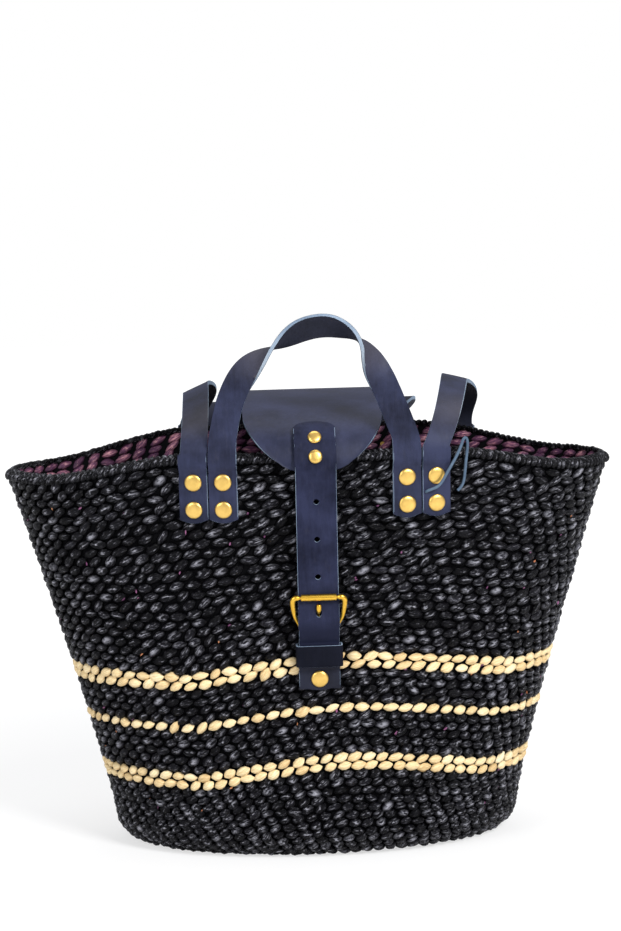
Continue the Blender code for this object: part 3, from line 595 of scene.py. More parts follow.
def lathe(work: bmesh.types.BMesh, profile: Sequence[tuple[float, float]], base: Vector, axis: Vector, steps: int) -> None:
    """Spin a section about an axis and add it to a mesh.

    Args:
        work: Mesh to add to.
        profile: (radius, distance along the axis) points.
        base: Start of the axis.
        axis: Direction of the axis.
        steps: Steps of the full turn.
    """
    turn_axis = axis.normalized()
    helper = Vector((0.0, 0.0, 1.0)) if abs(turn_axis.z) < 0.9 else Vector((1.0, 0.0, 0.0))
    out = turn_axis.cross(helper).normalized()
    points = [work.verts.new(base + turn_axis * distance + out * radius) for radius, distance in profile]
    edges = [work.edges.new(pair) for pair in zip(points, points[1:])]
    bmesh.ops.spin(work, geom=points + edges, cent=base, axis=turn_axis, angle=TURN, steps=steps, use_merge=True)
    bmesh.ops.remove_doubles(work, verts=work.verts, dist=MERGE)
    bmesh.ops.recalc_face_normals(work, faces=work.faces)


def round_tube(name: str, points: Sequence[Vector], radius: float, material: bpy.types.Material,
               shares: Sequence[float] | None = None, cyclic: bool = False, sides: int = 5) -> bpy.types.Object:
    """Make a round wire as a bevelled curve, then a mesh.

    Args:
        name: The piece's name.
        points: Points of the centreline.
        radius: Radius where the share is 1.
        material: Its material.
        shares: Radius share at each point.
        cyclic: Whether the ends join.
        sides: The curve's bevel resolution.

    Returns:
        The object, as a mesh.
    """
    data = bpy.data.curves.new(name, "CURVE")
    data.dimensions = "3D"
    data.bevel_depth = radius
    data.bevel_resolution = sides
    data.use_fill_caps = not cyclic
    spline = data.splines.new("POLY")
    spline.points.add(len(points) - 1)
    for index, point in enumerate(points):
        spline.points[index].co = (*point, 1.0)
        spline.points[index].radius = shares[index] if shares else 1.0
    spline.use_cyclic_u = cyclic
    curve = link(name + "_curve", data)
    bpy.context.view_layer.update()
    mesh = bpy.data.meshes.new_from_object(curve.evaluated_get(bpy.context.evaluated_depsgraph_get()))
    bpy.data.objects.remove(curve, do_unlink=True)
    work = bmesh.new()
    work.from_mesh(mesh)
    bpy.data.meshes.remove(mesh)
    bmesh.ops.remove_doubles(work, verts=work.verts, dist=MERGE)
    bmesh.ops.recalc_face_normals(work, faces=work.faces)
    for face in work.faces:
        face.material_index = 0
    return finish(name, work, [material], 50.0)


def punch(item: bpy.types.Object, drills: Sequence[tuple[Vector, Vector, float, float]]) -> None:
    """Cut round or tall holes through a piece, with painted highlight and painted shade on their walls.

    Args:
        item: The piece.
        drills: (place, axis, radius, height share) of each hole.
    """
    work = bmesh.new()
    for base, axis, radius, tall in drills:
        turn = Vector((0.0, 0.0, 1.0)).rotation_difference(axis).to_matrix().to_4x4()
        shape = Matrix.Translation(base) @ turn @ Matrix.Diagonal((1.0, tall, 1.0, 1.0))
        bmesh.ops.create_cone(work, cap_ends=True, segments=28, radius1=radius, radius2=radius, depth=0.012, matrix=shape)
    bmesh.ops.recalc_face_normals(work, faces=work.faces)
    # Painted light: each hole's lower wall takes the pale edge material as a painted highlight, the rest the dark flesh
    # material as painted shade.
    for face in work.faces:
        face.material_index = 2 if face.normal.z < -0.25 else 1
    data = bpy.data.meshes.new("drill")
    work.to_mesh(data)
    work.free()
    for material in item.data.materials:
        data.materials.append(material)
    cutter = link("drill", data)
    step = item.modifiers.new("holes", "BOOLEAN")
    step.operation = "DIFFERENCE"
    step.solver = "MANIFOLD"
    step.object = cutter
    bpy.context.view_layer.update()
    old = item.data
    mesh = bpy.data.meshes.new_from_object(item.evaluated_get(bpy.context.evaluated_depsgraph_get()))
    item.modifiers.clear()
    item.data = mesh
    bpy.data.meshes.remove(old)
    bpy.data.objects.remove(cutter, do_unlink=True)


# ---------------------------------------------------------------- woven body


@dataclass
class StitchShape:
    """One lens-shaped stitch, made once and stamped many times."""

    around: int = 8
    rings: int = 6
    point_power: float = 2.1
    end_power: float = 0.86
    flat_share: float = 0.85
    back_share: float = 0.45

    def mesh(self) -> tuple[np.ndarray, list[list[int]], np.ndarray]:
        """Build the stitch at unit half sizes.

        Returns:
            Vertices, faces, and a UV per vertex.
        """
        work = bmesh.new()
        bmesh.ops.create_uvsphere(work, u_segments=self.around, v_segments=self.rings, radius=1.0)
        bmesh.ops.rotate(work, verts=work.verts, matrix=Matrix.Rotation(0.25 * TURN, 3, "Y"))
        for vertex in work.verts:
            x = min(max(vertex.co.x, -1.0), 1.0)
            round_now = math.sqrt(max(1.0 - x * x, 0.0))
            lens = (1.0 - abs(x) ** self.point_power) ** self.end_power
            scale = lens / round_now if round_now > 0.001 else 0.0
            vertex.co.y *= scale
            vertex.co.z *= scale * (1.0 if vertex.co.z > 0.0 else self.back_share)
            vertex.co.z = min(vertex.co.z, self.flat_share * lens + 0.1 * vertex.co.z)
        work.verts.ensure_lookup_table()
        vertices = np.array([vertex.co for vertex in work.verts], float)
        faces = [[vertex.index for vertex in face.verts] for face in work.faces]
        work.free()
        uv = np.stack([0.5 + 0.5 * vertices[:, 0], 0.5 + 0.5 * vertices[:, 1]], axis=1)
        return vertices, faces, uv


@dataclass
class Stamp:
    """Places of one kind of stitch, joined into one mesh."""

    name: str
    shape: StitchShape
    matrices: list[np.ndarray] = field(default_factory=list)
    tones: list[float] = field(default_factory=list)

    def add(self, centre: Vector, along: Vector, across: Vector, out: Vector, tone: float) -> None:
        """Add one stitch by its centre and its three half axes."""
        matrix = np.array([[along[i], across[i], out[i], centre[i]] for i in range(3)], float)
        self.matrices.append(matrix)
        self.tones.append(tone)

    def build(self, material: bpy.types.Material) -> bpy.types.Object:
        """Join all the stitches into one object.

        Args:
            material: The stitches' material.

        Returns:
            The object, with its stitch UV map and tone attribute.
        """
        vertices, faces, uv = self.shape.mesh()
        matrices = np.array(self.matrices)
        count = len(matrices)
        placed = np.einsum("nij,vj->nvi", matrices[:, :, :3], vertices) + matrices[:, None, :, 3]
        loops = np.concatenate([np.array(face) for face in faces])
        sizes = np.array([len(face) for face in faces])
        starts = np.concatenate([[0], np.cumsum(sizes)[:-1]])
        step = np.arange(count)[:, None]
        data = bpy.data.meshes.new(self.name)
        data.vertices.add(count * len(vertices))
        data.vertices.foreach_set("co", placed.reshape(-1).astype(np.float32))
        data.loops.add(count * len(loops))
        data.loops.foreach_set("vertex_index", (loops + step * len(vertices)).reshape(-1).astype(np.int32))
        data.polygons.add(count * len(sizes))
        data.polygons.foreach_set("loop_start", (starts + step * len(loops)).reshape(-1).astype(np.int32))
        data.update(calc_edges=True)
        layer = data.uv_layers.new(name="stitch")
        layer.uv.foreach_set("vector", np.tile(uv[loops], (count, 1)).reshape(-1).astype(np.float32))
        tone = data.attributes.new("tone", "FLOAT", "POINT")
        tone.data.foreach_set("value", np.repeat(np.array(self.tones, np.float32), len(vertices)))
        data.shade_smooth()
        data.materials.append(material)
        return link(self.name, data)


@dataclass
class WovenBody:
    """Stitches, backing, base and rope edge of the basket."""

    row_pitch: float = 0.0064
    first_row: float = 0.0032
    rows: int = 49
    wales: int = 80
    shift_share: float = 0.74
    slant: float = math.radians(20.0)
    length_share: float = 0.545
    width_share: float = 0.57
    bulge: float = 0.0030
    skin_offset: float = -0.0020
    core_depth: float = 0.0016
    lining_offset: float = -0.0046
    wave_depth: float = 0.016
    wave_centre: float = 0.12
    wave_reach: float = 0.65
    wave_power: float = 1.6
    wave_rise: float = 0.090
    wave_fade_start: float = 0.190
    wave_fade_end: float = 0.300
    pale_rows: tuple[int, ...] = (13, 14, 20, 25, 26)
    fleck_count: int = 150
    jitter: random.Random = field(default_factory=lambda: random.Random(SEED))

    def wave(self, angle: float, length: float) -> float:
        """How far a row sags at an angle and a length up the section."""
        share = max((length - WALL.knee_arc) / WALL.rise, 0.0)
        side = math.cos(angle)
        sag = min((abs(side - self.wave_centre) / self.wave_reach) ** self.wave_power, 1.0)
        own = WALL.corner_dip * WALL.dip(side) * share
        fade = smooth((length - self.wave_fade_start) / (self.wave_fade_end - self.wave_fade_start))
        window = smooth(length / self.wave_rise) * (1.0 - fade)
        return (own - self.wave_depth * sag) * window

    def row_frame(self, angle: float, length: float, offset: float) -> tuple[Vector, Vector, Vector, Vector]:
        """Centre, along, up and outward directions of a stitch."""
        low = length + self.wave(angle, length)
        step = 0.0015
        centre = WALL.profile(angle, low, offset)
        along = (WALL.profile(angle + 0.01, length + self.wave(angle + 0.01, length), offset)
                 - WALL.profile(angle - 0.01, length + self.wave(angle - 0.01, length), offset)).normalized()
        up = (WALL.profile(angle, low + step, offset) - WALL.profile(angle, low - step, offset)).normalized()
        out = along.cross(up).normalized()
        return centre, along, out.cross(along).normalized(), out

    def row_widths(self, length: float) -> tuple[float, float]:
        """Half width and half depth of the row at a length up the section."""
        if length >= WALL.knee_arc:
            share = (length - WALL.knee_arc) / WALL.rise
            return WALL.half_width(share), WALL.half_depth(share)
        inset = WALL.knee * (1.0 - math.cos((1.0 - length / WALL.knee_arc) * 0.25 * TURN))
        return WALL.knee_half_width - inset, WALL.knee_half_depth - inset

    def stitch_row(self, stamp: Stamp, index: int, length: float, offset: float, inward: bool, bulge: float) -> None:
        """Add one row of stitches.

        Args:
            stamp: Where they go.
            index: The row's number, which sets its shift.
            length: Length of the row up the section.
            offset: Distance off the outer wall.
            inward: Whether the stitches face the inside.
            bulge: Half thickness of a stitch.
        """
        half_width, half_depth = self.row_widths(length)
        angles = ellipse_angles(half_width, half_depth, self.wales, index * self.shift_share % 1.0)
        around = math.pi * (3.0 * (half_width + half_depth)
                            - math.sqrt((3.0 * half_width + half_depth) * (half_width + 3.0 * half_depth)))
        pitch = around / self.wales
        draw = self.jitter
        for angle in angles:
            centre, along, up, out = self.row_frame(float(angle), length, offset)
            if inward:
                along, out = -along, -out
            slant = self.slant + draw.gauss(0.0, 0.20)
            lengthwise = along * math.cos(slant) + up * math.sin(slant)
            crosswise = up * math.cos(slant) - along * math.sin(slant)
            half_length = pitch * self.length_share * draw.uniform(0.84, 1.08)
            half_height = self.row_pitch * self.width_share * draw.uniform(0.82, 1.10)
            thick = bulge * draw.uniform(0.80, 1.15)
            face = (out + lengthwise * draw.gauss(0.0, 0.20) + crosswise * draw.gauss(0.0, 0.24)).normalized()
            centre = centre + up * draw.gauss(0.0, 0.00022) + along * draw.gauss(0.0, 0.0003)
            stamp.add(centre, lengthwise * half_length, crosswise * half_height, face * thick,
                      min(max(draw.gauss(0.5, 0.2), 0.0), 1.0))

    def outer_rows(self, dark: StitchFinish, pale: StitchFinish) -> None:
        """Stitch the outside, in lower and upper pieces and the pale rows."""
        black = dark.material()
        cream = pale.material()
        middle = self.rows // 2
        stamps = {name: Stamp(name, StitchShape()) for name in ("weave_lower", "weave_upper", "pale_rows")}
        for index in range(self.rows):
            length = self.first_row + index * self.row_pitch
            is_pale = index in self.pale_rows
            key = "pale_rows" if is_pale else ("weave_lower" if index < middle else "weave_upper")
            bulge = self.bulge * (1.08 if is_pale else 1.0)
            self.stitch_row(stamps[key], index, length, self.skin_offset, False, bulge)
        dress(stamps["weave_lower"].build(black), "basket", "woven_black", "basket_shell")
        dress(stamps["weave_upper"].build(black), "basket", "woven_black")
        dress(stamps["pale_rows"].build(cream), "basket", "woven_cream", "stripe_upper", "stripe_middle", "stripe_lower")

    def lining_rows(self, finish_: StitchFinish) -> None:
        """Stitch the inside wall."""
        stamp = Stamp("weave_lining", StitchShape(around=6, rings=5))
        for index in range(5, self.rows):
            length = self.first_row + (index + 0.5) * self.row_pitch
            self.stitch_row(stamp, index, length, self.lining_offset, True, 0.0016)
        dress(stamp.build(finish_.material()), "basket", "woven_black")

    def disc_rows(self, name: str, finish_: StitchFinish, half_width: float, half_depth: float, height: float,
                  facing: float, bulge: float) -> None:
        """Stitch the flat base or floor in shrinking rings.

        Args:
            name: The piece's name.
            finish_: Its finish.
            half_width: Half width of the outer ring.
            half_depth: Half depth of the outer ring.
            height: Height of the stitches' centres.
            facing: 1 for up, -1 for down.
            bulge: Half thickness of a stitch.
        """
        stamp = Stamp(name, StitchShape(around=6, rings=5))
        out = Vector((0.0, 0.0, facing))
        inset = 0.5 * self.row_pitch
        draw = self.jitter
        while inset < half_depth:
            wide = half_width - inset
            deep = half_depth - inset
            count = max(int(self.wales * (wide + deep) / (half_width + half_depth)), 6)
            for angle in ellipse_angles(wide, deep, count, draw.random()):
                place = Vector((wide * math.cos(angle), deep * math.sin(angle), height))
                along = Vector((-wide * math.sin(angle), deep * math.cos(angle), 0.0)).normalized()
                up = out.cross(along)
                slant = self.slant
                pitch = TURN * math.hypot(wide, deep) / math.sqrt(2.0) / count
                stamp.add(place, (along * math.cos(slant) + up * math.sin(slant)) * pitch * self.length_share,
                          (up * math.cos(slant) - along * math.sin(slant)) * self.row_pitch * self.width_share,
                          out * bulge * draw.uniform(0.85, 1.1), min(max(draw.gauss(0.5, 0.2), 0.0), 1.0))
            inset += self.row_pitch
        dress(stamp.build(finish_.material()), "basket", "woven_black")

    def backing(self, finish_: CoreFibreShadeFinish) -> None:
        """Build the dark warp layer between the outer and the inner stitches, near black as painted shade in the gaps.
        """
        outside = self.skin_offset - self.core_depth
        inside = self.lining_offset + 0.0001
        lengths = [WALL.knee_arc * step / 5.0 for step in range(5)]
        top = WALL.knee_arc + WALL.rise - 0.6 * WALL.braid_height
        lengths += [WALL.knee_arc + (top - WALL.knee_arc) * step / 8.0 for step in range(9)]
        section = [(length, outside) for length in lengths] + [(length, inside) for length in reversed(lengths)]
        rows = len(section) + 1
        around = 128
        work = bmesh.new()
        bmesh.ops.create_grid(work, x_segments=around, y_segments=rows, size=0.5)
        for vertex in work.verts:
            row = round((vertex.co.y + 0.5) * rows)
            angle = (vertex.co.x + 0.5) * TURN
            if row in (0, rows):
                vertex.co = Vector((0.0, 0.0, -outside if row == 0 else -inside))
            else:
                length, offset = section[row - 1]
                vertex.co = WALL.profile(angle, length, offset)
        bmesh.ops.remove_doubles(work, verts=work.verts, dist=MERGE)
        bmesh.ops.recalc_face_normals(work, faces=work.faces)
        dress(finish("weave_core", work, [finish_.material()]), "basket", "woven_black")

    def rope_edge(self, finish_: StitchFinish) -> None:
        """Wrap the rim with two rows of slanted stitches that meet like a braid."""
        stamp = Stamp("rim_wrap", StitchShape(around=8, rings=6, point_power=2.6, back_share=1.0))
        count = 3 * self.wales
        draw = self.jitter
        for inset, drop, turn in ((0.0052, 0.0026, 1.0), (0.0026, 0.0048, -1.0)):
            for angle in ellipse_angles(WALL.rim_half_width, WALL.rim_half_depth, count, 0.25 + 0.25 * turn):
                angle = float(angle)
                out = WALL.normal(angle, 1.0)
                out = Vector((out.x, out.y, 0.0)).normalized()
                along = (WALL.ring(angle + 0.01, 1.0) - WALL.ring(angle - 0.01, 1.0)).normalized()
                centre = WALL.ring(angle, 1.0) - out * inset - Vector((0.0, 0.0, drop))
                lean = math.radians(38.0) * turn + draw.gauss(0.0, 0.10)
                cross = (out * (0.75 if turn > 0.0 else 0.45) - Vector((0.0, 0.0, 0.45 if turn > 0.0 else 0.75))).normalized()
                face = along.cross(cross).normalized()
                face = face if face.z + face.dot(out) > 0.0 else -face
                lengthwise = cross * math.cos(lean) + along * math.sin(lean)
                crosswise = along * math.cos(lean) - cross * math.sin(lean)
                stamp.add(centre + face * draw.gauss(0.0, 0.0002), lengthwise * 0.0044, crosswise * 0.0024,
                          face * 0.0023, min(max(draw.gauss(0.45, 0.2), 0.0), 1.0))
        dress(stamp.build(finish_.material()), "basket", "woven_black", "rim_braid")

    def flecks(self, finish_: StitchFinish, name: str, count: int) -> None:
        """Scatter small ends of coloured fibre over the outside."""
        stamp = Stamp(name, StitchShape(around=6, rings=4))
        draw = self.jitter
        for _ in range(count):
            angle = draw.uniform(0.0, TURN)
            length = draw.uniform(0.05, 0.30)
            centre, along, up, out = self.row_frame(angle, length, self.skin_offset + 0.0008)
            slant = draw.uniform(0.3, 1.6)
            lengthwise = along * math.cos(slant) + up * math.sin(slant)
            crosswise = up * math.cos(slant) - along * math.sin(slant)
            stamp.add(centre, lengthwise * draw.uniform(0.0010, 0.0022), crosswise * draw.uniform(0.0004, 0.0009),
                      out * 0.0010, draw.random())
        dress(stamp.build(finish_.material()), "basket", "woven_black")

    def build(self, palette: "Palette") -> None:
        """Build the whole body."""
        self.backing(palette.core)
        self.outer_rows(palette.dark_fibre, palette.pale_fibre)
        self.lining_rows(palette.lining_fibre)
        edge_width = WALL.knee_half_width - WALL.knee
        edge_depth = WALL.knee_half_depth - WALL.knee
        self.disc_rows("weave_base", palette.dark_fibre, edge_width, edge_depth, -self.skin_offset, -1.0, 0.0017)
        self.disc_rows("weave_floor", palette.lining_fibre, edge_width, edge_depth, -self.lining_offset, 1.0, 0.0014)
        self.rope_edge(palette.dark_fibre)
        self.flecks(palette.plum_fibre, "flecks_plum", self.fleck_count)
        self.flecks(palette.orange_fibre, "flecks_orange", self.fleck_count // 3)


# ---------------------------------------------------------------- straps


@dataclass
class StrapEnd:
    """Sewn-on end of a strap: flat on the wall, lifted over the rope edge."""

    width: float = 0.0194
    thickness: float = 0.003
    drop: float = 0.050
    end_bulge: float = 0.003

    def point(self, x: float, u: float, w: float, side: Side, down: float, rim: float) -> Vector:
        """Point at a share down the end, 1 at its tip and 0 at the rim."""
        tip = self.drop - self.end_bulge * (2.0 * u - 1.0) ** 2
        below = tip * down - GAP * (1.0 - down)
        return WALL.on(x, rim - below, side, WALL.lift(below) + w * self.thickness)


@dataclass
class Handle:
    """A short handle, one strip with both sewn-on ends and its arch."""

    name: str
    body: str
    side: Side
    line: Sequence[Sequence[float]]
    fall: Sequence[Sequence[float]]
    twist: float
    ends: Sequence[str]
    x: float = 0.0657
    hinge_rise: float = 0.0033
    end: StrapEnd = field(default_factory=StrapEnd)
    end_rows: int = 22
    arch_rows: int = 110
    across: int = 8
    twist_start: float = 0.33
    twist_end: float = 0.97
    blend_height: float = 0.014
    wear_and_sheen_bend: float = 0.5

    def __post_init__(self) -> None:
        """Resample the arch and the line that it falls along."""
        self.path = curve_through(self.line, self.arch_rows)
        self.curve = curve_through(self.fall, 60)
        self.curve_length = path_length(self.curve)
        rim = WALL.rim_height
        face = WALL.on(self.x - 0.5 * self.end.width, rim, self.side, WALL.lift(0.0) + self.end.thickness)
        self.hinge = Vector((0.0, face.y + self.side.value * GAP, rim + GAP + self.hinge_rise))

    def bent(self, height: float) -> tuple[Vector, Vector, Vector]:
        """Point, outward and upward directions at a height up the bent plane."""
        last = len(self.curve) - 1
        index = min(max(height / self.curve_length * last, 0.0), last - 0.001)
        low = int(index)
        point = self.curve[low].lerp(self.curve[low + 1], index - low)
        before = self.curve[max(low - 1, 0)]
        after = self.curve[min(low + 2, last)]
        along = (after - before).normalized()
        return point, Vector((along.y, -along.x)), along

    def arch_point(self, u: float, row: int, w: float) -> Vector:
        """Point on the twisted arch."""
        before = self.path[max(row - 1, 0)]
        after = self.path[min(row + 1, self.arch_rows)]
        along = (after - before).normalized()
        x, height = self.path[row]
        point, outward, up = self.bent(height)
        side = self.side.value
        out_axis = Vector((0.0, side * outward.x, outward.y))
        up_axis = Vector((0.0, side * up.x, up.y))
        width_axis = Vector((along.y, 0.0, 0.0)) - up_axis * along.x
        climb = 1.0 - abs(2.0 * row / self.arch_rows - 1.0)
        turn = self.twist * smooth((climb - self.twist_start) / (self.twist_end - self.twist_start))
        turned_width = width_axis * math.cos(turn) + out_axis * math.sin(turn)
        turned_out = out_axis * math.cos(turn) - width_axis * math.sin(turn)
        thick = self.end.thickness
        centre = self.hinge + Vector((x, side * point.x, point.y)) - out_axis * 0.5 * thick
        return centre + turned_width * (u - 0.5) * self.end.width + turned_out * (w - 0.5) * thick

    def place(self, u: float, row: int, w: float) -> Vector:
        """Point on the whole strip."""
        rim = WALL.rim_height
        if row <= self.end_rows:
            return self.end.point(-self.x + (u - 0.5) * self.end.width, u, w, self.side, 1.0 - row / self.end_rows, rim)
        if row >= self.end_rows + self.arch_rows:
            down = (row - self.end_rows - self.arch_rows) / self.end_rows
            return self.end.point(self.x - (u - 0.5) * self.end.width, u, w, self.side, down, rim)
        step = row - self.end_rows
        arch = self.arch_point(u, step, w)
        height = self.path[step].y
        if height > self.blend_height:
            return arch
        x = arch.x
        top = WALL.on(x, rim, self.side, WALL.lift(0.0) + w * self.end.thickness)
        _, _, up = self.bent(height)
        rise = self.hinge_rise + height
        reached = top + Vector((0.0, self.side.value * up.x, up.y)) * rise
        reached.z += GAP
        return reached.lerp(arch, smooth(height / self.blend_height))

    def wear_and_sheen(self, u: float, row: int) -> float:
        """How scuffed the strip is, with painted highlight: both most at the shoulders of the arch."""
        step = row - self.end_rows
        climb = 1.0 - abs(2.0 * step / self.arch_rows - 1.0)
        return self.wear_and_sheen_bend * math.exp(-((climb - 0.62) / 0.12) ** 2)

    def build(self, materials: Sequence[bpy.types.Material]) -> bpy.types.Object:
        """Build the handle as one strip and hide the CAD pieces it replaces."""
        rows = 2 * self.end_rows + self.arch_rows
        item = strip(self.name + "_strap", self.place, self.across, rows, materials, self.wear_and_sheen)
        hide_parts(self.body, *self.ends)
        hinge = self.hinge
        out = self.side.value
        end = (0.0, hinge.y + out * (0.010 if self.side is Side.BACK else 0.0), hinge.z + (0.0005 if self.side is Side.BACK else 0.009))
        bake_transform(item)
        LOG.info("%s blends from basket to %s", item.name, self.body)
        return item


@dataclass
class SideStrap:
    """A strap from the front wall, over the mouth, to the back wall."""

    name: str
    start: float
    crown: float
    finish_x: float
    rise: float
    tilt: float
    swing: float = 0.0
    end: StrapEnd = field(default_factory=StrapEnd)
    end_rows: int = 20
    arch_rows: int = 80
    across: int = 8
    worn_and_sheen: float = 0.5

    def x(self, share: float, u: float) -> float:
        """Sideways place at a share of the arch."""
        bow = (4.0 * self.crown - 2.0 * self.start - 2.0 * self.finish_x) * share * (1.0 - share)
        swing = self.swing * math.sin(math.pi * max(2.0 * share - 1.0, 0.0)) ** 2
        return self.start + (self.finish_x - self.start) * share + bow + swing + (u - 0.5) * self.end.width

    def place(self, u: float, row: int, w: float) -> Vector:
        """Point on the whole strip."""
        if row <= self.end_rows:
            x = self.x(0.0, u)
            return self.end.point(x, u, w, Side.FRONT, 1.0 - row / self.end_rows, WALL.rim_at(x))
        if row >= self.end_rows + self.arch_rows:
            x = self.x(1.0, u)
            down = (row - self.end_rows - self.arch_rows) / self.end_rows
            return self.end.point(x, u, w, Side.BACK, down, WALL.rim_at(x))
        share = (row - self.end_rows) / self.arch_rows
        x = self.x(share, u)
        turn = share * math.pi
        side = Side.FRONT if share < 0.5 else Side.BACK
        base = WALL.on(x, WALL.rim_at(x) + GAP, side, WALL.lift(-GAP))
        rise = (self.rise + w * self.end.thickness + (u - 0.5) * self.tilt) * math.sin(turn)
        return Vector((x, -(abs(base.y) + w * self.end.thickness) * math.cos(turn), base.z + rise))

    def wear_and_sheen(self, u: float, row: int) -> float:
        """How scuffed the strip is, with painted highlight: both most where it turns over the rim."""
        share = (row - self.end_rows) / self.arch_rows
        return self.worn_and_sheen * math.exp(-((share - 0.20) / 0.10) ** 2) * (0.55 + 0.45 * u)

    def build(self, materials: Sequence[bpy.types.Material]) -> None:
        """Build the strap."""
        rows = 2 * self.end_rows + self.arch_rows
        item = strip(self.name + "_leather", self.place, self.across, rows, materials, self.wear_and_sheen)
        dress(item, "basket", "leather", self.name)


# ---------------------------------------------------------------- flap and closure


@dataclass
class Flap:
    """The flap with its sewn-on back end."""

    half_width: float = 0.050
    thickness: float = 0.003
    base_drop: float = 0.045
    tip_cosine: float = 0.24
    base_rows: int = 14
    body_rows: int = 70
    end_rows: int = 22
    across: int = 36
    underside: tuple[tuple[float, float], ...] = (
        (0.1201, 0.3106), (0.1197, 0.3132), (0.1172, 0.3162), (0.1100, 0.3200), (0.0950, 0.3255),
        (0.0600, 0.3340), (0.0200, 0.3382), (-0.0200, 0.3392), (-0.0500, 0.3378), (-0.0750, 0.3338),
        (-0.0950, 0.3278), (-0.1060, 0.3222), (-0.1130, 0.3165), (-0.1175, 0.3105), (-0.1200, 0.3050),
        (-0.1212, 0.2990), (-0.1200, 0.2930))

    def __post_init__(self) -> None:
        """Resample the underside."""
        self.line = curve_through(self.underside, 240)
        self.step = (self.line[1] - self.line[0]).length
        self.length = path_length(self.line)

    def at(self, length: float) -> tuple[Vector, Vector]:
        """Point and outward normal at a length along the underside."""
        return line_frame(self.line, length)

    def length_at(self, y: float) -> float:
        """Length from the back where the underside passes y."""
        for index, point in enumerate(self.line):
            if point.x <= y:
                return index * self.step
        return self.length

    def place(self, u: float, row: int, w: float) -> Vector:
        """Point on the whole flap."""
        x_full = (2.0 * u - 1.0) * self.half_width
        if row < self.base_rows:
            down = 1.0 - row / self.base_rows
            tip = self.base_drop - 0.003 * (2.0 * u - 1.0) ** 2
            below = tip * down - GAP * (1.0 - down)
            return WALL.on(x_full, WALL.rim_height - below, Side.BACK, WALL.lift(below) + w * self.thickness)
        row -= self.base_rows
        straight = self.length - self.half_width
        if row <= self.body_rows:
            length = straight * row / self.body_rows
            half = self.half_width
        else:
            turn = math.acos(self.tip_cosine) * (row - self.body_rows) / self.end_rows
            length = straight + self.half_width * math.sin(turn)
            half = self.half_width * math.cos(turn)
        point, outward = self.at(length)
        point = point + outward * (w * self.thickness)
        x = (2.0 * u - 1.0) * half
        return Vector((x, point.x * math.sqrt(1.0 - (x / WALL.rim_half_width) ** 2), point.y))

    def wear_and_sheen(self, u: float, row: int) -> float:
        """How scuffed the flap is, with painted highlight: both most along its top bend."""
        share = (row - self.base_rows) / self.body_rows
        return 0.42 * math.exp(-((share - 0.42) / 0.10) ** 2)

    def build(self, materials: Sequence[bpy.types.Material]) -> None:
        """Build the flap as one strip and hide the CAD pieces it replaces."""
        rows = self.base_rows + self.body_rows + self.end_rows
        item = strip("flap_leather", self.place, self.across, rows, materials, self.wear_and_sheen)
        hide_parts("flap", "flap_base")
        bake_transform(item)
        LOG.info("flap_leather blends from basket to flap")


def line_frame(line: Sequence[Vector], length: float) -> tuple[Vector, Vector]:
    """Point and outward normal at a length along a line of even steps."""
    step = (line[1] - line[0]).length
    index = min(max(length / step, 0.0), len(line) - 1.001)
    low = int(index)
    point = line[low].lerp(line[low + 1], index - low)
    along = (line[min(low + 2, len(line) - 1)] - line[max(low - 1, 0)]).normalized()
    return point, Vector((along.y, -along.x))


@dataclass
class ClosureStrap:
    """The long strap riveted on the flap."""

    flap: Flap
    half_width: float = 0.0146
    thickness: float = 0.0026
    space: float = 0.0008
    top_y: float = -0.105
    leaves_z: float = 0.2945
    end_round: float = 0.009
    end_share: float = 0.08
    rows: int = 150
    across: int = 12
    wall_path: tuple[tuple[float, float], ...] = (
        (0.2905, 0.0072), (0.2850, 0.0067), (0.2700, 0.0062), (0.2450, 0.0062), (0.2200, 0.0063),
        (0.2070, 0.0067), (0.2010, 0.0070), (0.1915, 0.0081), (0.1830, 0.0091), (0.1785, 0.0095),
        (0.1745, 0.0090), (0.1722, 0.0079), (0.1703, 0.0067), (0.1685, 0.0063), (0.1650, 0.0063),
        (0.1530, 0.0063))
    hole_heights: tuple[float, ...] = (0.2725, 0.2450, 0.2175)
    hole_radius: float = 0.0021
    prong_hole: float = 0.1914
    prong_hole_half: float = 0.0034

    def __post_init__(self) -> None:
        """Work out the strap's inner line."""
        points = []
        length = self.flap.length_at(self.top_y)
        while length < self.flap.length:
            point, outward = self.flap.at(length)
            if point.y < self.leaves_z:
                break
            points.append(point + outward * (self.flap.thickness + self.space))
            length += 4.0 * self.flap.step
        for z, n in self.wall_path:
            point = WALL.front(n, z)
            points.append(Vector((point.y, point.z)))
        self.line = curve_through(points, 4 * self.rows)
        self.length = path_length(self.line)

    def place(self, u: float, row: int, w: float) -> Vector:
        """Point on the strap."""
        across = 2.0 * u - 1.0
        rounding = self.end_round * (1.0 - math.sqrt(1.0 - 0.9 * across ** 2))
        share = row / self.rows
        near = max(1.0 - share / self.end_share, 0.0) - max(1.0 - (1.0 - share) / self.end_share, 0.0)
        length = self.length * share + rounding * near
        point, outward = line_frame(self.line, min(length, self.length * 0.998))
        point = point + outward * (w * self.thickness)
        return Vector((across * self.half_width, point.x, point.y))

    def build(self, materials: Sequence[bpy.types.Material]) -> None:
        """Build the strap with its punched holes."""
        item = strip("closure_leather", self.place, self.across, self.rows, materials, lambda u, row: 0.0)
        out = WALL.normal(-0.25 * TURN, 0.5)
        drills = [(WALL.front(0.0075, z), out, self.hole_radius, 1.0) for z in self.hole_heights]
        drills.append((WALL.front(0.0095, self.prong_hole), out, self.hole_radius, self.prong_hole_half / self.hole_radius))
        punch(item, drills)
        dress(item, "flap", "leather", "closure_strap")


# ---------------------------------------------------------------- buckle


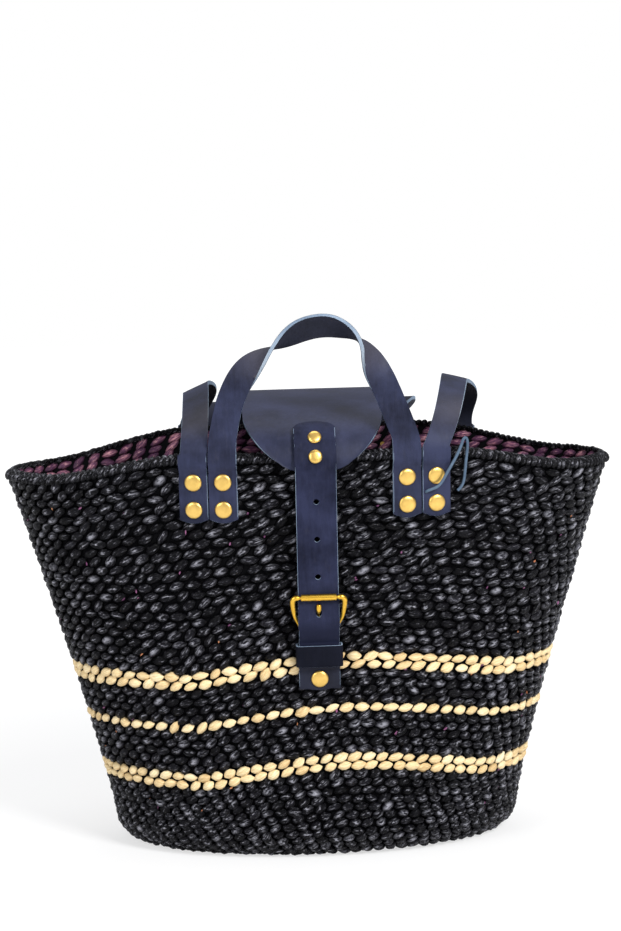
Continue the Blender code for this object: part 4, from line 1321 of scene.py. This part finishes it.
@dataclass
class Buckle:
    """Frame, roller, prong, chape and keeper."""

    heel_z: float = 0.177
    heel_n: float = 0.00515
    top_z: float = 0.2033
    top_n: float = 0.0124
    bar_radius: float = 0.0015
    roller_half: float = 0.0128
    roller_radius: float = 0.0025
    prong_radius: float = 0.0014
    eye_share: float = 0.65
    chape_half: float = 0.0148
    chape_fold_half: float = 0.0106
    chape: float = 0.0018
    taper: tuple[float, float] = (0.1660, 0.1735)
    keeper_half: float = 0.0154
    keeper_back: float = 0.0019
    keeper_front: float = 0.0093
    keeper_low: float = 0.1510
    keeper_high: float = 0.1667
    keeper_thickness: float = 0.0016
    frame_half: tuple[tuple[float, float, float], ...] = (
        (0.0112, 0.1770, 1.00), (0.0124, 0.1773, 0.85), (0.0134, 0.1785, 0.70), (0.0140, 0.1803, 0.66),
        (0.0147, 0.1826, 0.68), (0.0160, 0.1852, 0.78), (0.0173, 0.1885, 0.92), (0.0182, 0.1930, 1.10),
        (0.0187, 0.1975, 1.28), (0.0187, 0.2006, 1.38), (0.0180, 0.2024, 1.42), (0.0166, 0.2033, 1.40),
        (0.0148, 0.2033, 1.30), (0.0138, 0.2033, 1.00), (0.0130, 0.2033, 0.80))
    prong_path: tuple[tuple[float, float, float], ...] = (
        (0.00780, 0.1795, 0.65), (0.00715, 0.1818, 0.65), (0.00650, 0.1848, 0.65), (0.00640, 0.1876, 0.65),
        (0.00705, 0.1897, 0.70), (0.00865, 0.1912, 0.95), (0.01030, 0.1923, 1.20), (0.01150, 0.1938, 1.35),
        (0.01200, 0.1958, 1.38), (0.01205, 0.1982, 1.30))
    chape_back: tuple[tuple[float, float], ...] = (
        (0.1375, 0.00125), (0.1440, 0.00125), (0.1470, 0.00130), (0.1488, 0.00210), (0.1503, 0.00300),
        (0.1530, 0.00310), (0.1630, 0.00310), (0.1720, 0.00310), (0.1745, 0.00275))
    chape_front: tuple[tuple[float, float], ...] = (
        (0.1745, 0.00740), (0.1728, 0.00620), (0.1710, 0.00530), (0.1690, 0.00520), (0.1590, 0.00520),
        (0.1530, 0.00520), (0.1500, 0.00508), (0.1484, 0.00428), (0.1469, 0.00350), (0.1440, 0.00338),
        (0.1370, 0.00335), (0.1320, 0.00335))

    def axes(self) -> tuple[Vector, Vector, Vector]:
        """Heel bar's middle, outward normal and upward direction."""
        out = WALL.normal(-0.25 * TURN, 0.5)
        up = Vector((1.0, 0.0, 0.0)).cross(out)
        return WALL.front(self.heel_n, self.heel_z), out, up if up.z > 0.0 else -up

    def build_chape(self, materials: Sequence[bpy.types.Material]) -> None:
        """Build the folded strip round the heel bar, with its slot for the prong."""
        centre, out, up = self.axes()
        radius = self.bar_radius + GAP + 0.5 * self.chape
        points = [WALL.front(n, z) for z, n in self.chape_back]
        for step in range(11):
            turn = math.pi * step / 10.0
            points.append(centre - out * radius * math.cos(turn) + up * radius * math.sin(turn))
        points += [WALL.front(n, z) for z, n in self.chape_front]
        rows = 110
        line = curve_through([(point.y, point.z) for point in points], rows)

        def place(u: float, row: int, w: float) -> Vector:
            """Point on the chape."""
            along = (line[min(row + 1, rows)] - line[max(row - 1, 0)]).normalized()
            across = 2.0 * u - 1.0
            point = line[row] + Vector((-along.y, along.x)) * (w - 0.5) * self.chape
            if row in (0, rows):
                point = point - along * (1 if row else -1) * 0.003 * across ** 2
            low, high = self.taper
            half = self.chape_half + (self.chape_fold_half - self.chape_half) * smooth((point.y - low) / (high - low))
            return Vector((across * half, point.x, point.y))

        item = strip("chape_leather", place, 10, rows, materials, lambda u, row: 0.0, 0.0003)
        work = bmesh.new()
        low = WALL.front(0.001, 0.1714)
        high = WALL.front(0.012, 0.1826)
        size = (0.0044, abs(high.y - low.y), high.z - low.z)
        bmesh.ops.create_cube(work, size=1.0, matrix=Matrix.Translation(0.5 * (low + high)) @ Matrix.Diagonal((*size, 1.0)))
        cutter = finish("slot_cutter", work, materials)
        cut_with(item, cutter)
        dress(item, "basket", "leather", "buckle_chape")

    def build_keeper(self, materials: Sequence[bpy.types.Material]) -> None:
        """Build the keeper as a rounded loop."""
        corner = 0.0010
        path = []
        for cx, cn, start in ((1, 1, 0), (-1, 1, 1), (-1, -1, 2), (1, -1, 3)):
            for step in range(7):
                turn = (start + step / 6.0) * 0.25 * TURN
                path.append((cx, cn, math.cos(turn), math.sin(turn)))
        path.append(path[0])
        steps = len(path) - 1
        rows = 8

        def place(u: float, row: int, w: float) -> Vector:
            """Point on the keeper."""
            cx, cn, side, out = path[row]
            reach = corner + w * self.keeper_thickness
            x = cx * (self.keeper_half - corner) + side * reach
            middle = self.keeper_front - corner if cn > 0 else self.keeper_back + corner
            z = self.keeper_low + (self.keeper_high - self.keeper_low) * u
            bow = 0.0005 * math.sin(math.pi * (x + self.keeper_half) / (2.0 * self.keeper_half)) if cn > 0 else 0.0
            return WALL.front(middle + out * reach + bow, z, x)

        work = bmesh.new()
        bmesh.ops.create_grid(work, x_segments=rows, y_segments=steps, size=0.5)
        grown = bmesh.ops.extrude_face_region(work, geom=list(work.faces), use_keep_orig=True)
        for part in grown["geom"]:
            if isinstance(part, bmesh.types.BMVert):
                part.co.z = 1.0
        work.verts.layers.float.new("wear_and_sheen")
        ends = []
        for face in work.faces:
            heights = {vertex.co.z for vertex in face.verts}
            face.material_index = 2 if len(heights) > 1 else (0 if heights == {1.0} else 1)
            if len(heights) > 1 and len({round(vertex.co.y, 4) for vertex in face.verts}) == 1:
                ends.append(face)
        bmesh.ops.delete(work, geom=ends, context="FACES_ONLY")
        for vertex in work.verts:
            vertex.co = place(vertex.co.x + 0.5, round((vertex.co.y + 0.5) * steps), vertex.co.z)
        bmesh.ops.remove_doubles(work, verts=work.verts, dist=MERGE)
        rims = [edge for edge in work.edges if len({face.material_index for face in edge.link_faces}) == 2]
        bmesh.ops.bevel(work, geom=rims, offset=0.0003, segments=2, profile=0.5, affect="EDGES", material=-1)
        bmesh.ops.recalc_face_normals(work, faces=work.faces)
        dress(finish("keeper_leather", work, materials), "keeper", "leather", "keeper_loop")

    def build_metal(self, brass: bpy.types.Material) -> None:
        """Build the frame, the roller and the prong."""
        centre, out, up = self.axes()
        high = WALL.front(self.top_n, self.top_z)
        left = [(-x, z, share) for x, z, share in reversed(self.frame_half)]
        span = self.top_z - self.heel_z
        ring = [(x, (z - self.heel_z) / span, share) for x, z, share in (*self.frame_half, *left)]
        dense = curve_through([*ring, ring[0]], 150)[:-1]
        points = [centre.lerp(high, rise) + Vector((x, 0.0, 0.0)) for x, rise, _ in dense]
        item = round_tube("buckle_wire", points, self.bar_radius, brass, [share for _, _, share in dense], True)
        dress(item, "buckle_frame", "brass", "buckle_frame")
        work = bmesh.new()
        reach = self.roller_half
        bore = self.bar_radius * 0.8 + GAP
        lip = 0.0003
        lathe(work, [(bore, -reach), (self.roller_radius - lip, -reach), (self.roller_radius, lip - reach),
                     (self.roller_radius, reach - lip), (self.roller_radius - lip, reach), (bore, reach), (bore, -reach)],
              high, Vector((1.0, 0.0, 0.0)), 36)
        dress(finish("roller_tube", work, [brass]), "buckle_roller", "brass", "buckle_roller")
        eye = self.bar_radius + GAP + self.eye_share * self.prong_radius
        begin = math.radians(-62.0)
        points = []
        for step in range(15):
            turn = begin - (TURN + begin) * step / 14.0
            points.append(centre + out * eye * math.cos(turn) + up * eye * math.sin(turn))
        shares = [self.eye_share] * 15 + [share for _, _, share in self.prong_path]
        points += [WALL.front(n, z) for n, z, _ in self.prong_path]
        dense = curve_through([(*point, share) for point, share in zip(points, shares)], 90)
        places = [Vector(row[:3]) for row in dense]
        widths = [row[3] for row in dense]
        for index, drop in ((-1, 0.55), (-2, 0.80), (-3, 0.93)):
            widths[index] *= drop
        item = round_tube("prong_wire", places, self.prong_radius, brass, widths)
        dress(item, "buckle_prong", "brass", "buckle_prong")


def cut_with(item: bpy.types.Object, cutter: bpy.types.Object) -> None:
    """Cut a piece with another, then remove the cutter."""
    step = item.modifiers.new("cut", "BOOLEAN")
    step.operation = "DIFFERENCE"
    step.solver = "EXACT"
    step.object = cutter
    bpy.context.view_layer.update()
    old = item.data
    mesh = bpy.data.meshes.new_from_object(item.evaluated_get(bpy.context.evaluated_depsgraph_get()))
    item.modifiers.clear()
    item.data = mesh
    bpy.data.meshes.remove(old)
    bpy.data.objects.remove(cutter, do_unlink=True)


# ---------------------------------------------------------------- rivets and lace


@dataclass
class Rivets:
    """Every rivet of the basket."""

    cap_radius: float = 0.0063
    cap_height: float = 0.0018
    flap_cap_radius: float = 0.0050
    post_radius: float = 0.0020
    drops: tuple[float, float] = (0.020, 0.040)
    steps: int = 36

    def cap(self, face: float, radius: float) -> list[tuple[float, float]]:
        """Section of a domed cap over a face distance."""
        low = face + 0.0001
        top = self.cap_height + 0.0002
        return [(0.0, low + top), (0.30 * radius, low + 0.985 * top), (0.58 * radius, low + 0.92 * top),
                (0.80 * radius, low + 0.76 * top), (0.93 * radius, low + 0.52 * top),
                (0.99 * radius, low + 0.28 * top), (radius, low + 0.12 * top), (0.985 * radius, low),
                (self.post_radius, low)]

    def through_wall(self, name: str, node: str, x: float, z: float, side: Side, face: float, brass: bpy.types.Material) -> None:
        """Build a rivet through a strap and the wall."""
        angle, share = WALL.find(x, z, side)
        inside = -WALL.thickness + GAP
        profile = self.cap(face, self.cap_radius) + [(self.post_radius, inside), (0.0, inside)]
        work = bmesh.new()
        lathe(work, profile, WALL.ring(angle, share), WALL.normal(angle, share), self.steps)
        dress(finish(name, work, [brass]), "basket", "brass", node)

    def build(self, brass: bpy.types.Material, flap: Flap, closure: ClosureStrap) -> None:
        """Build all the rivets."""
        ends = (("front_handle_left", -0.0657, Side.FRONT), ("front_handle_right", 0.0657, Side.FRONT),
                ("back_handle_left", -0.0657, Side.BACK), ("back_handle_right", 0.0657, Side.BACK),
                ("side_strap_left_front", -0.0868, Side.FRONT), ("side_strap_left_back", -0.0880, Side.BACK),
                ("side_strap_right_front", 0.0870, Side.FRONT), ("side_strap_right_back", 0.1270, Side.BACK))
        for name, x, side in ends:
            for level, drop in zip(("upper", "lower"), self.drops):
                node = f"rivet_{name}_{level}"
                self.through_wall(node + "_cap", node, x, WALL.rim_at(x) - drop, side, GAP + 0.003, brass)
        self.through_wall("rivet_chape_cap", "rivet_chape", 0.0, 0.1405, Side.FRONT, 0.00335 + 0.0009, brass)
        for name, x in (("rivet_flap_base_left", -0.030), ("rivet_flap_base_right", 0.030)):
            self.through_wall(name + "_cap", name, x, WALL.rim_height - 0.028, Side.BACK, GAP + 0.003, brass)
        for name, y in (("rivet_closure_upper", -0.1150), ("rivet_closure_lower", -0.1203)):
            point, outward = flap.at(flap.length_at(y))
            face = flap.thickness + closure.space + closure.thickness
            profile = self.cap(face, self.flap_cap_radius) + [(self.post_radius, 0.0005), (0.0, 0.0005)]
            work = bmesh.new()
            lathe(work, profile, Vector((0.0, point.x, point.y)), Vector((0.0, outward.x, outward.y)), self.steps)
            dress(finish(name + "_cap", work, [brass]), "flap", "brass", name)


@dataclass
class TieLace:
    """Thin lace looped over the right-hand side strap."""

    radius: float = 0.0011
    path: tuple[tuple[float, float, float], ...] = (
        (0.0795, 0.2746, 0.0016), (0.0797, 0.2760, 0.0044), (0.0822, 0.2775, 0.0060), (0.0860, 0.2795, 0.0076),
        (0.0890, 0.2825, 0.0079), (0.0915, 0.2865, 0.0079), (0.0945, 0.2915, 0.0078), (0.0975, 0.2960, 0.0072),
        (0.1000, 0.3000, 0.0068), (0.1025, 0.3045, 0.0065), (0.1045, 0.3090, 0.0062), (0.1060, 0.3125, 0.0058),
        (0.1075, 0.3140, 0.0055), (0.1090, 0.3125, 0.0051), (0.1095, 0.3085, 0.0047), (0.1092, 0.3030, 0.0043),
        (0.1085, 0.2960, 0.0038), (0.1080, 0.2890, 0.0034), (0.1072, 0.2820, 0.0030), (0.1055, 0.2775, 0.0024),
        (0.1030, 0.2746, 0.0018))

    def build(self, material: bpy.types.Material) -> None:
        points = [WALL.on(x, min(z, WALL.rim_height), Side.FRONT, n) + Vector((0.0, 0.0, max(z - WALL.rim_height, 0.0)))
                  for x, z, n in self.path]
        line = curve_through(points, 70)
        item = round_tube("tie_lace_cord", line, self.radius, material)
        dress(item, "basket", "lace", "tie_lace")
        tuple(line[0])
        path_length(line)
        [tuple(point) for point in line]


# ---------------------------------------------------------------- studio


@dataclass
class Studio:
    """Floor, lamps, world and camera."""

    distance: float = 1.9
    height: float = 0.5
    aim_z: float = 0.284
    aim_x: float = 0.0018
    azimuth: float = math.radians(-2.4)
    roll: float = math.radians(-1.5)
    focal_pixels: float = 2508.0
    frame_pixels: float = 931.0
    sensor: float = 36.0

    def camera(self) -> None:
        """Place the camera at the photograph's viewing angle."""
        data = bpy.data.cameras.new("camera")
        data.sensor_width = self.sensor
        data.lens = self.focal_pixels / self.frame_pixels * self.sensor
        item = link("camera", data)
        place = Vector((math.sin(self.azimuth) * self.distance, -math.cos(self.azimuth) * self.distance, self.height))
        aim = Vector((self.aim_x, 0.0, self.aim_z))
        turn = (aim - place).to_track_quat("-Z", "Y").to_matrix().to_4x4()
        item.matrix_world = Matrix.Translation(place) @ turn @ Matrix.Rotation(self.roll, 4, "Z")
        bpy.context.scene.camera = item

    def lamp(self, name: str, place: Vector, size: float, power: float, colour: Colour = (1.0, 1.0, 1.0)) -> None:
        """Hang one soft lamp that looks at the basket."""
        data = bpy.data.lights.new(name, "AREA")
        data.shape = "SQUARE"
        data.size = size
        data.energy = power
        data.color = colour
        item = link(name, data)
        turn = (Vector((0.0, 0.0, 0.18)) - place).to_track_quat("-Z", "Y").to_matrix().to_4x4()
        item.matrix_world = Matrix.Translation(place) @ turn

    def floor(self) -> None:
        """Lay a pale floor that keeps the basket's shadow."""
        work = bmesh.new()
        bmesh.ops.create_grid(work, x_segments=1, y_segments=1, size=6.0)
        web = Web("floor_white")
        web.set(Base_Color=(0.86, 0.86, 0.86), Roughness=0.9)
        glow = web.node("ShaderNodeEmission", {}, {"Color": (1.0, 1.0, 1.0, 1.0), "Strength": 1.15})
        path = web.tree.nodes.new("ShaderNodeLightPath")
        seen = Wire(web, path.outputs["Is Camera Ray"])
        reach = web.node("ShaderNodeVectorMath", {"operation": "LENGTH"}, {0: web.here()}, "Value")
        share = seen * (0.55 + 0.45 * ((reach - 0.35) * 1.6).clamp())
        mixed = web.node("ShaderNodeMixShader", {}, {0: share, 1: Wire(web, web.shader.outputs[0]), 2: glow})
        web.tree.links.new(mixed.socket, web.output.inputs["Surface"])
        finish("floor", work, [web.material])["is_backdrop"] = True

    def world(self) -> None:
        """Set an even pale surround, white to the camera."""
        world = bpy.data.worlds.new("studio")
        bpy.context.scene.world = world
        world.use_nodes = True
        tree = world.node_tree
        back = tree.nodes["Background"]
        back.inputs["Strength"].default_value = 0.42
        back.inputs["Color"].default_value = (0.93, 0.95, 1.0, 1.0)
        seen = tree.nodes.new("ShaderNodeBackground")
        seen.inputs["Color"].default_value = (1.0, 1.0, 1.0, 1.0)
        path = tree.nodes.new("ShaderNodeLightPath")
        mix = tree.nodes.new("ShaderNodeMixShader")
        tree.links.new(path.outputs["Is Camera Ray"], mix.inputs[0])
        tree.links.new(back.outputs[0], mix.inputs[1])
        tree.links.new(seen.outputs[0], mix.inputs[2])
        tree.links.new(mix.outputs[0], tree.nodes["World Output"].inputs["Surface"])

    def build(self) -> None:
        """Build the studio."""
        bpy.context.scene.view_settings.view_transform = "Standard"
        self.camera()
        self.lamp("key", Vector((0.9, -1.5, 1.3)), 0.6, 40.0)
        self.lamp("fill", Vector((-1.3, -1.3, 1.0)), 0.9, 14.0)
        self.lamp("top", Vector((0.0, 0.4, 2.0)), 1.2, 14.0)
        self.floor()
        self.world()


@dataclass(frozen=True)
class Palette:
    """Every finish of the basket."""

    # Near-black warp fibre that also paints the shade between the stitches.
    core: CoreFibreShadeFinish = CoreFibreShadeFinish("fibre_core_gap_shade", (0.001, 0.001, 0.0012), (0.004, 0.004, 0.005))
    # In the stitch finishes the last three values are the painted glint colour, its share, and the share of painted
    # shade at the stitch edges.
    dark_fibre: StitchFinish = StitchFinish(
        "fibre_black", (0.0008, 0.0008, 0.0012), (0.0070, 0.0066, 0.0100), (0.043, 0.042, 0.058), 0.30, 1.0, 0.13,
        0.0030, (0.44, 0.44, 0.50), 0.80, 0.90)
    pale_fibre: StitchFinish = StitchFinish(
        "fibre_cream", (0.56, 0.37, 0.16), (0.80, 0.62, 0.34), (0.95, 0.86, 0.62), 0.6, 0.5, 0.4)
    lining_fibre: StitchFinish = StitchFinish(
        "fibre_plum", (0.018, 0.005, 0.018), (0.110, 0.032, 0.085), (0.66, 0.27, 0.32), 0.5, 0.8, 0.3, 0.0012,
        (0.75, 0.40, 0.42), 0.5, 0.7)
    plum_fibre: StitchFinish = StitchFinish(
        "fleck_plum", (0.08, 0.02, 0.07), (0.22, 0.06, 0.17), (0.50, 0.20, 0.38), 0.5)
    orange_fibre: StitchFinish = StitchFinish(
        "fleck_orange", (0.30, 0.08, 0.03), (0.55, 0.20, 0.08), (0.80, 0.42, 0.20), 0.5)
    grain: LeatherFinish = LeatherFinish(
        "leather_grain", (0.0036, 0.0054, 0.0190), (0.0235, 0.0290, 0.0690), (0.078, 0.072, 0.082), 0.56, 0.4,
        gloss=0.22)
    flap_grain: LeatherFinish = LeatherFinish(
        "leather_flap", (0.0060, 0.0085, 0.0275), (0.0225, 0.0270, 0.0640), (0.090, 0.080, 0.085), 0.56, 0.4,
        gloss=0.26)
    strap_grain: LeatherFinish = LeatherFinish(
        "leather_strap", (0.0040, 0.0055, 0.0180), (0.0195, 0.0235, 0.0570), (0.072, 0.066, 0.076), 0.60, 0.4,
        gloss=0.13, darker_below=0.187)
    # Darker copy of the leather: painted shade on the keeper.
    keeper_shaded_grain: LeatherFinish = LeatherFinish(
        "leather_keeper_shaded", (0.0016, 0.0022, 0.0060), (0.0055, 0.0066, 0.0140), (0.022, 0.022, 0.028), 0.6, 0.4,
        gloss=0.08)
    flesh: LeatherFinish = LeatherFinish(
        "leather_flesh", (0.004, 0.005, 0.013), (0.011, 0.013, 0.028), (0.04, 0.04, 0.05), 0.8, 0.4, 500.0)
    edge: LeatherFinish = LeatherFinish(
        "leather_edge", (0.130, 0.180, 0.255), (0.250, 0.320, 0.410), (0.34, 0.38, 0.42), 0.7, 0.4, 700.0)
    lace: LeatherFinish = LeatherFinish(
        "leather_lace", (0.040, 0.070, 0.115), (0.085, 0.130, 0.190), (0.18, 0.23, 0.29), 0.6, 0.4, 700.0)
    rivet: BrassFinish = BrassFinish("brass_rivet", (0.84, 0.56, 0.16), (0.66, 0.42, 0.11), 0.34)
    buckle: BrassFinish = BrassFinish("brass_buckle", (0.82, 0.50, 0.07), (0.62, 0.34, 0.03), 0.26)


def main() -> None:
    """Build every sub-assembly in order and finish the frame."""
    logging.basicConfig(level=logging.INFO, format="%(name)s: %(message)s")
    palette = Palette()
    Studio().build()
    TieLace().build(palette.lace.material())
    backing = [palette.flesh.material(), palette.edge.material()]
    leather = [palette.grain.material(), *backing]
    WovenBody().build(palette)
    lean = (WALL.rim_half_depth - WALL.knee_half_depth) / (WALL.rim_height - WALL.knee)
    Handle(
        name="front_handle", body="front_handle", side=Side.FRONT,
        line=((-0.0657, 0.0), (-0.0650, 0.010), (-0.0628, 0.022), (-0.0592, 0.035), (-0.0540, 0.047),
              (-0.0465, 0.0575), (-0.0370, 0.0660), (-0.0245, 0.0745), (-0.0070, 0.0845), (0.0100, 0.0872),
              (0.0250, 0.0822), (0.0355, 0.0735), (0.0412, 0.0642), (0.0458, 0.0540), (0.0510, 0.0430),
              (0.0562, 0.0300), (0.0612, 0.0170), (0.0646, 0.0070), (0.0657, 0.0)),
        fall=((0.0, 0.0), (0.05 * lean, 0.05), (0.10 * lean, 0.10)), twist=math.radians(150.0),
        ends=("front_handle_tab_left", "front_handle_tab_right")).build(leather)
    Handle(
        name="back_handle", body="back_handle", side=Side.BACK,
        line=((-0.0657, 0.0), (-0.0650, 0.008), (-0.0620, 0.024), (-0.0560, 0.038), (-0.0500, 0.0485),
              (-0.0430, 0.061), (-0.0340, 0.072), (-0.0200, 0.081), (0.0020, 0.087), (0.0260, 0.082),
              (0.0430, 0.073), (0.0580, 0.063), (0.0730, 0.050), (0.0825, 0.037), (0.0855, 0.0255),
              (0.0815, 0.0150), (0.0720, 0.0065), (0.0657, 0.0)),
        fall=((0.0000, 0.0000), (0.0018, 0.0058), (0.0068, 0.0092), (0.0142, 0.0096), (0.0243, 0.0064),
              (0.0380, -0.0032), (0.0500, -0.0158), (0.0580, -0.0273), (0.0635, -0.0370)),
        twist=math.radians(100.0), ends=("back_handle_tab_left", "back_handle_tab_right"),
        blend_height=0.008).build(leather)
    SideStrap("side_strap_left", -0.0868, -0.0840, -0.0880, 0.036, 0.0085, 0.008).build(leather)
    SideStrap("side_strap_right", 0.0870, 0.1130, 0.1270, 0.0405, -0.0020, 0.007).build(leather)
    flap = Flap()
    flap.build([palette.flap_grain.material(), *backing])
    closure = ClosureStrap(flap)
    closure.build([palette.strap_grain.material(), *backing])
    buckle = Buckle()
    buckle.build_chape(leather)
    buckle.build_keeper([palette.keeper_shaded_grain.material(), *backing])
    buckle.build_metal(palette.buckle.material())
    Rivets().build(palette.rivet.material(), flap, closure)


if __name__ == "__main__":
    main()
    rows = [[list(corner) for corner in box] for box in (CAD_BOUNDS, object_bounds())]
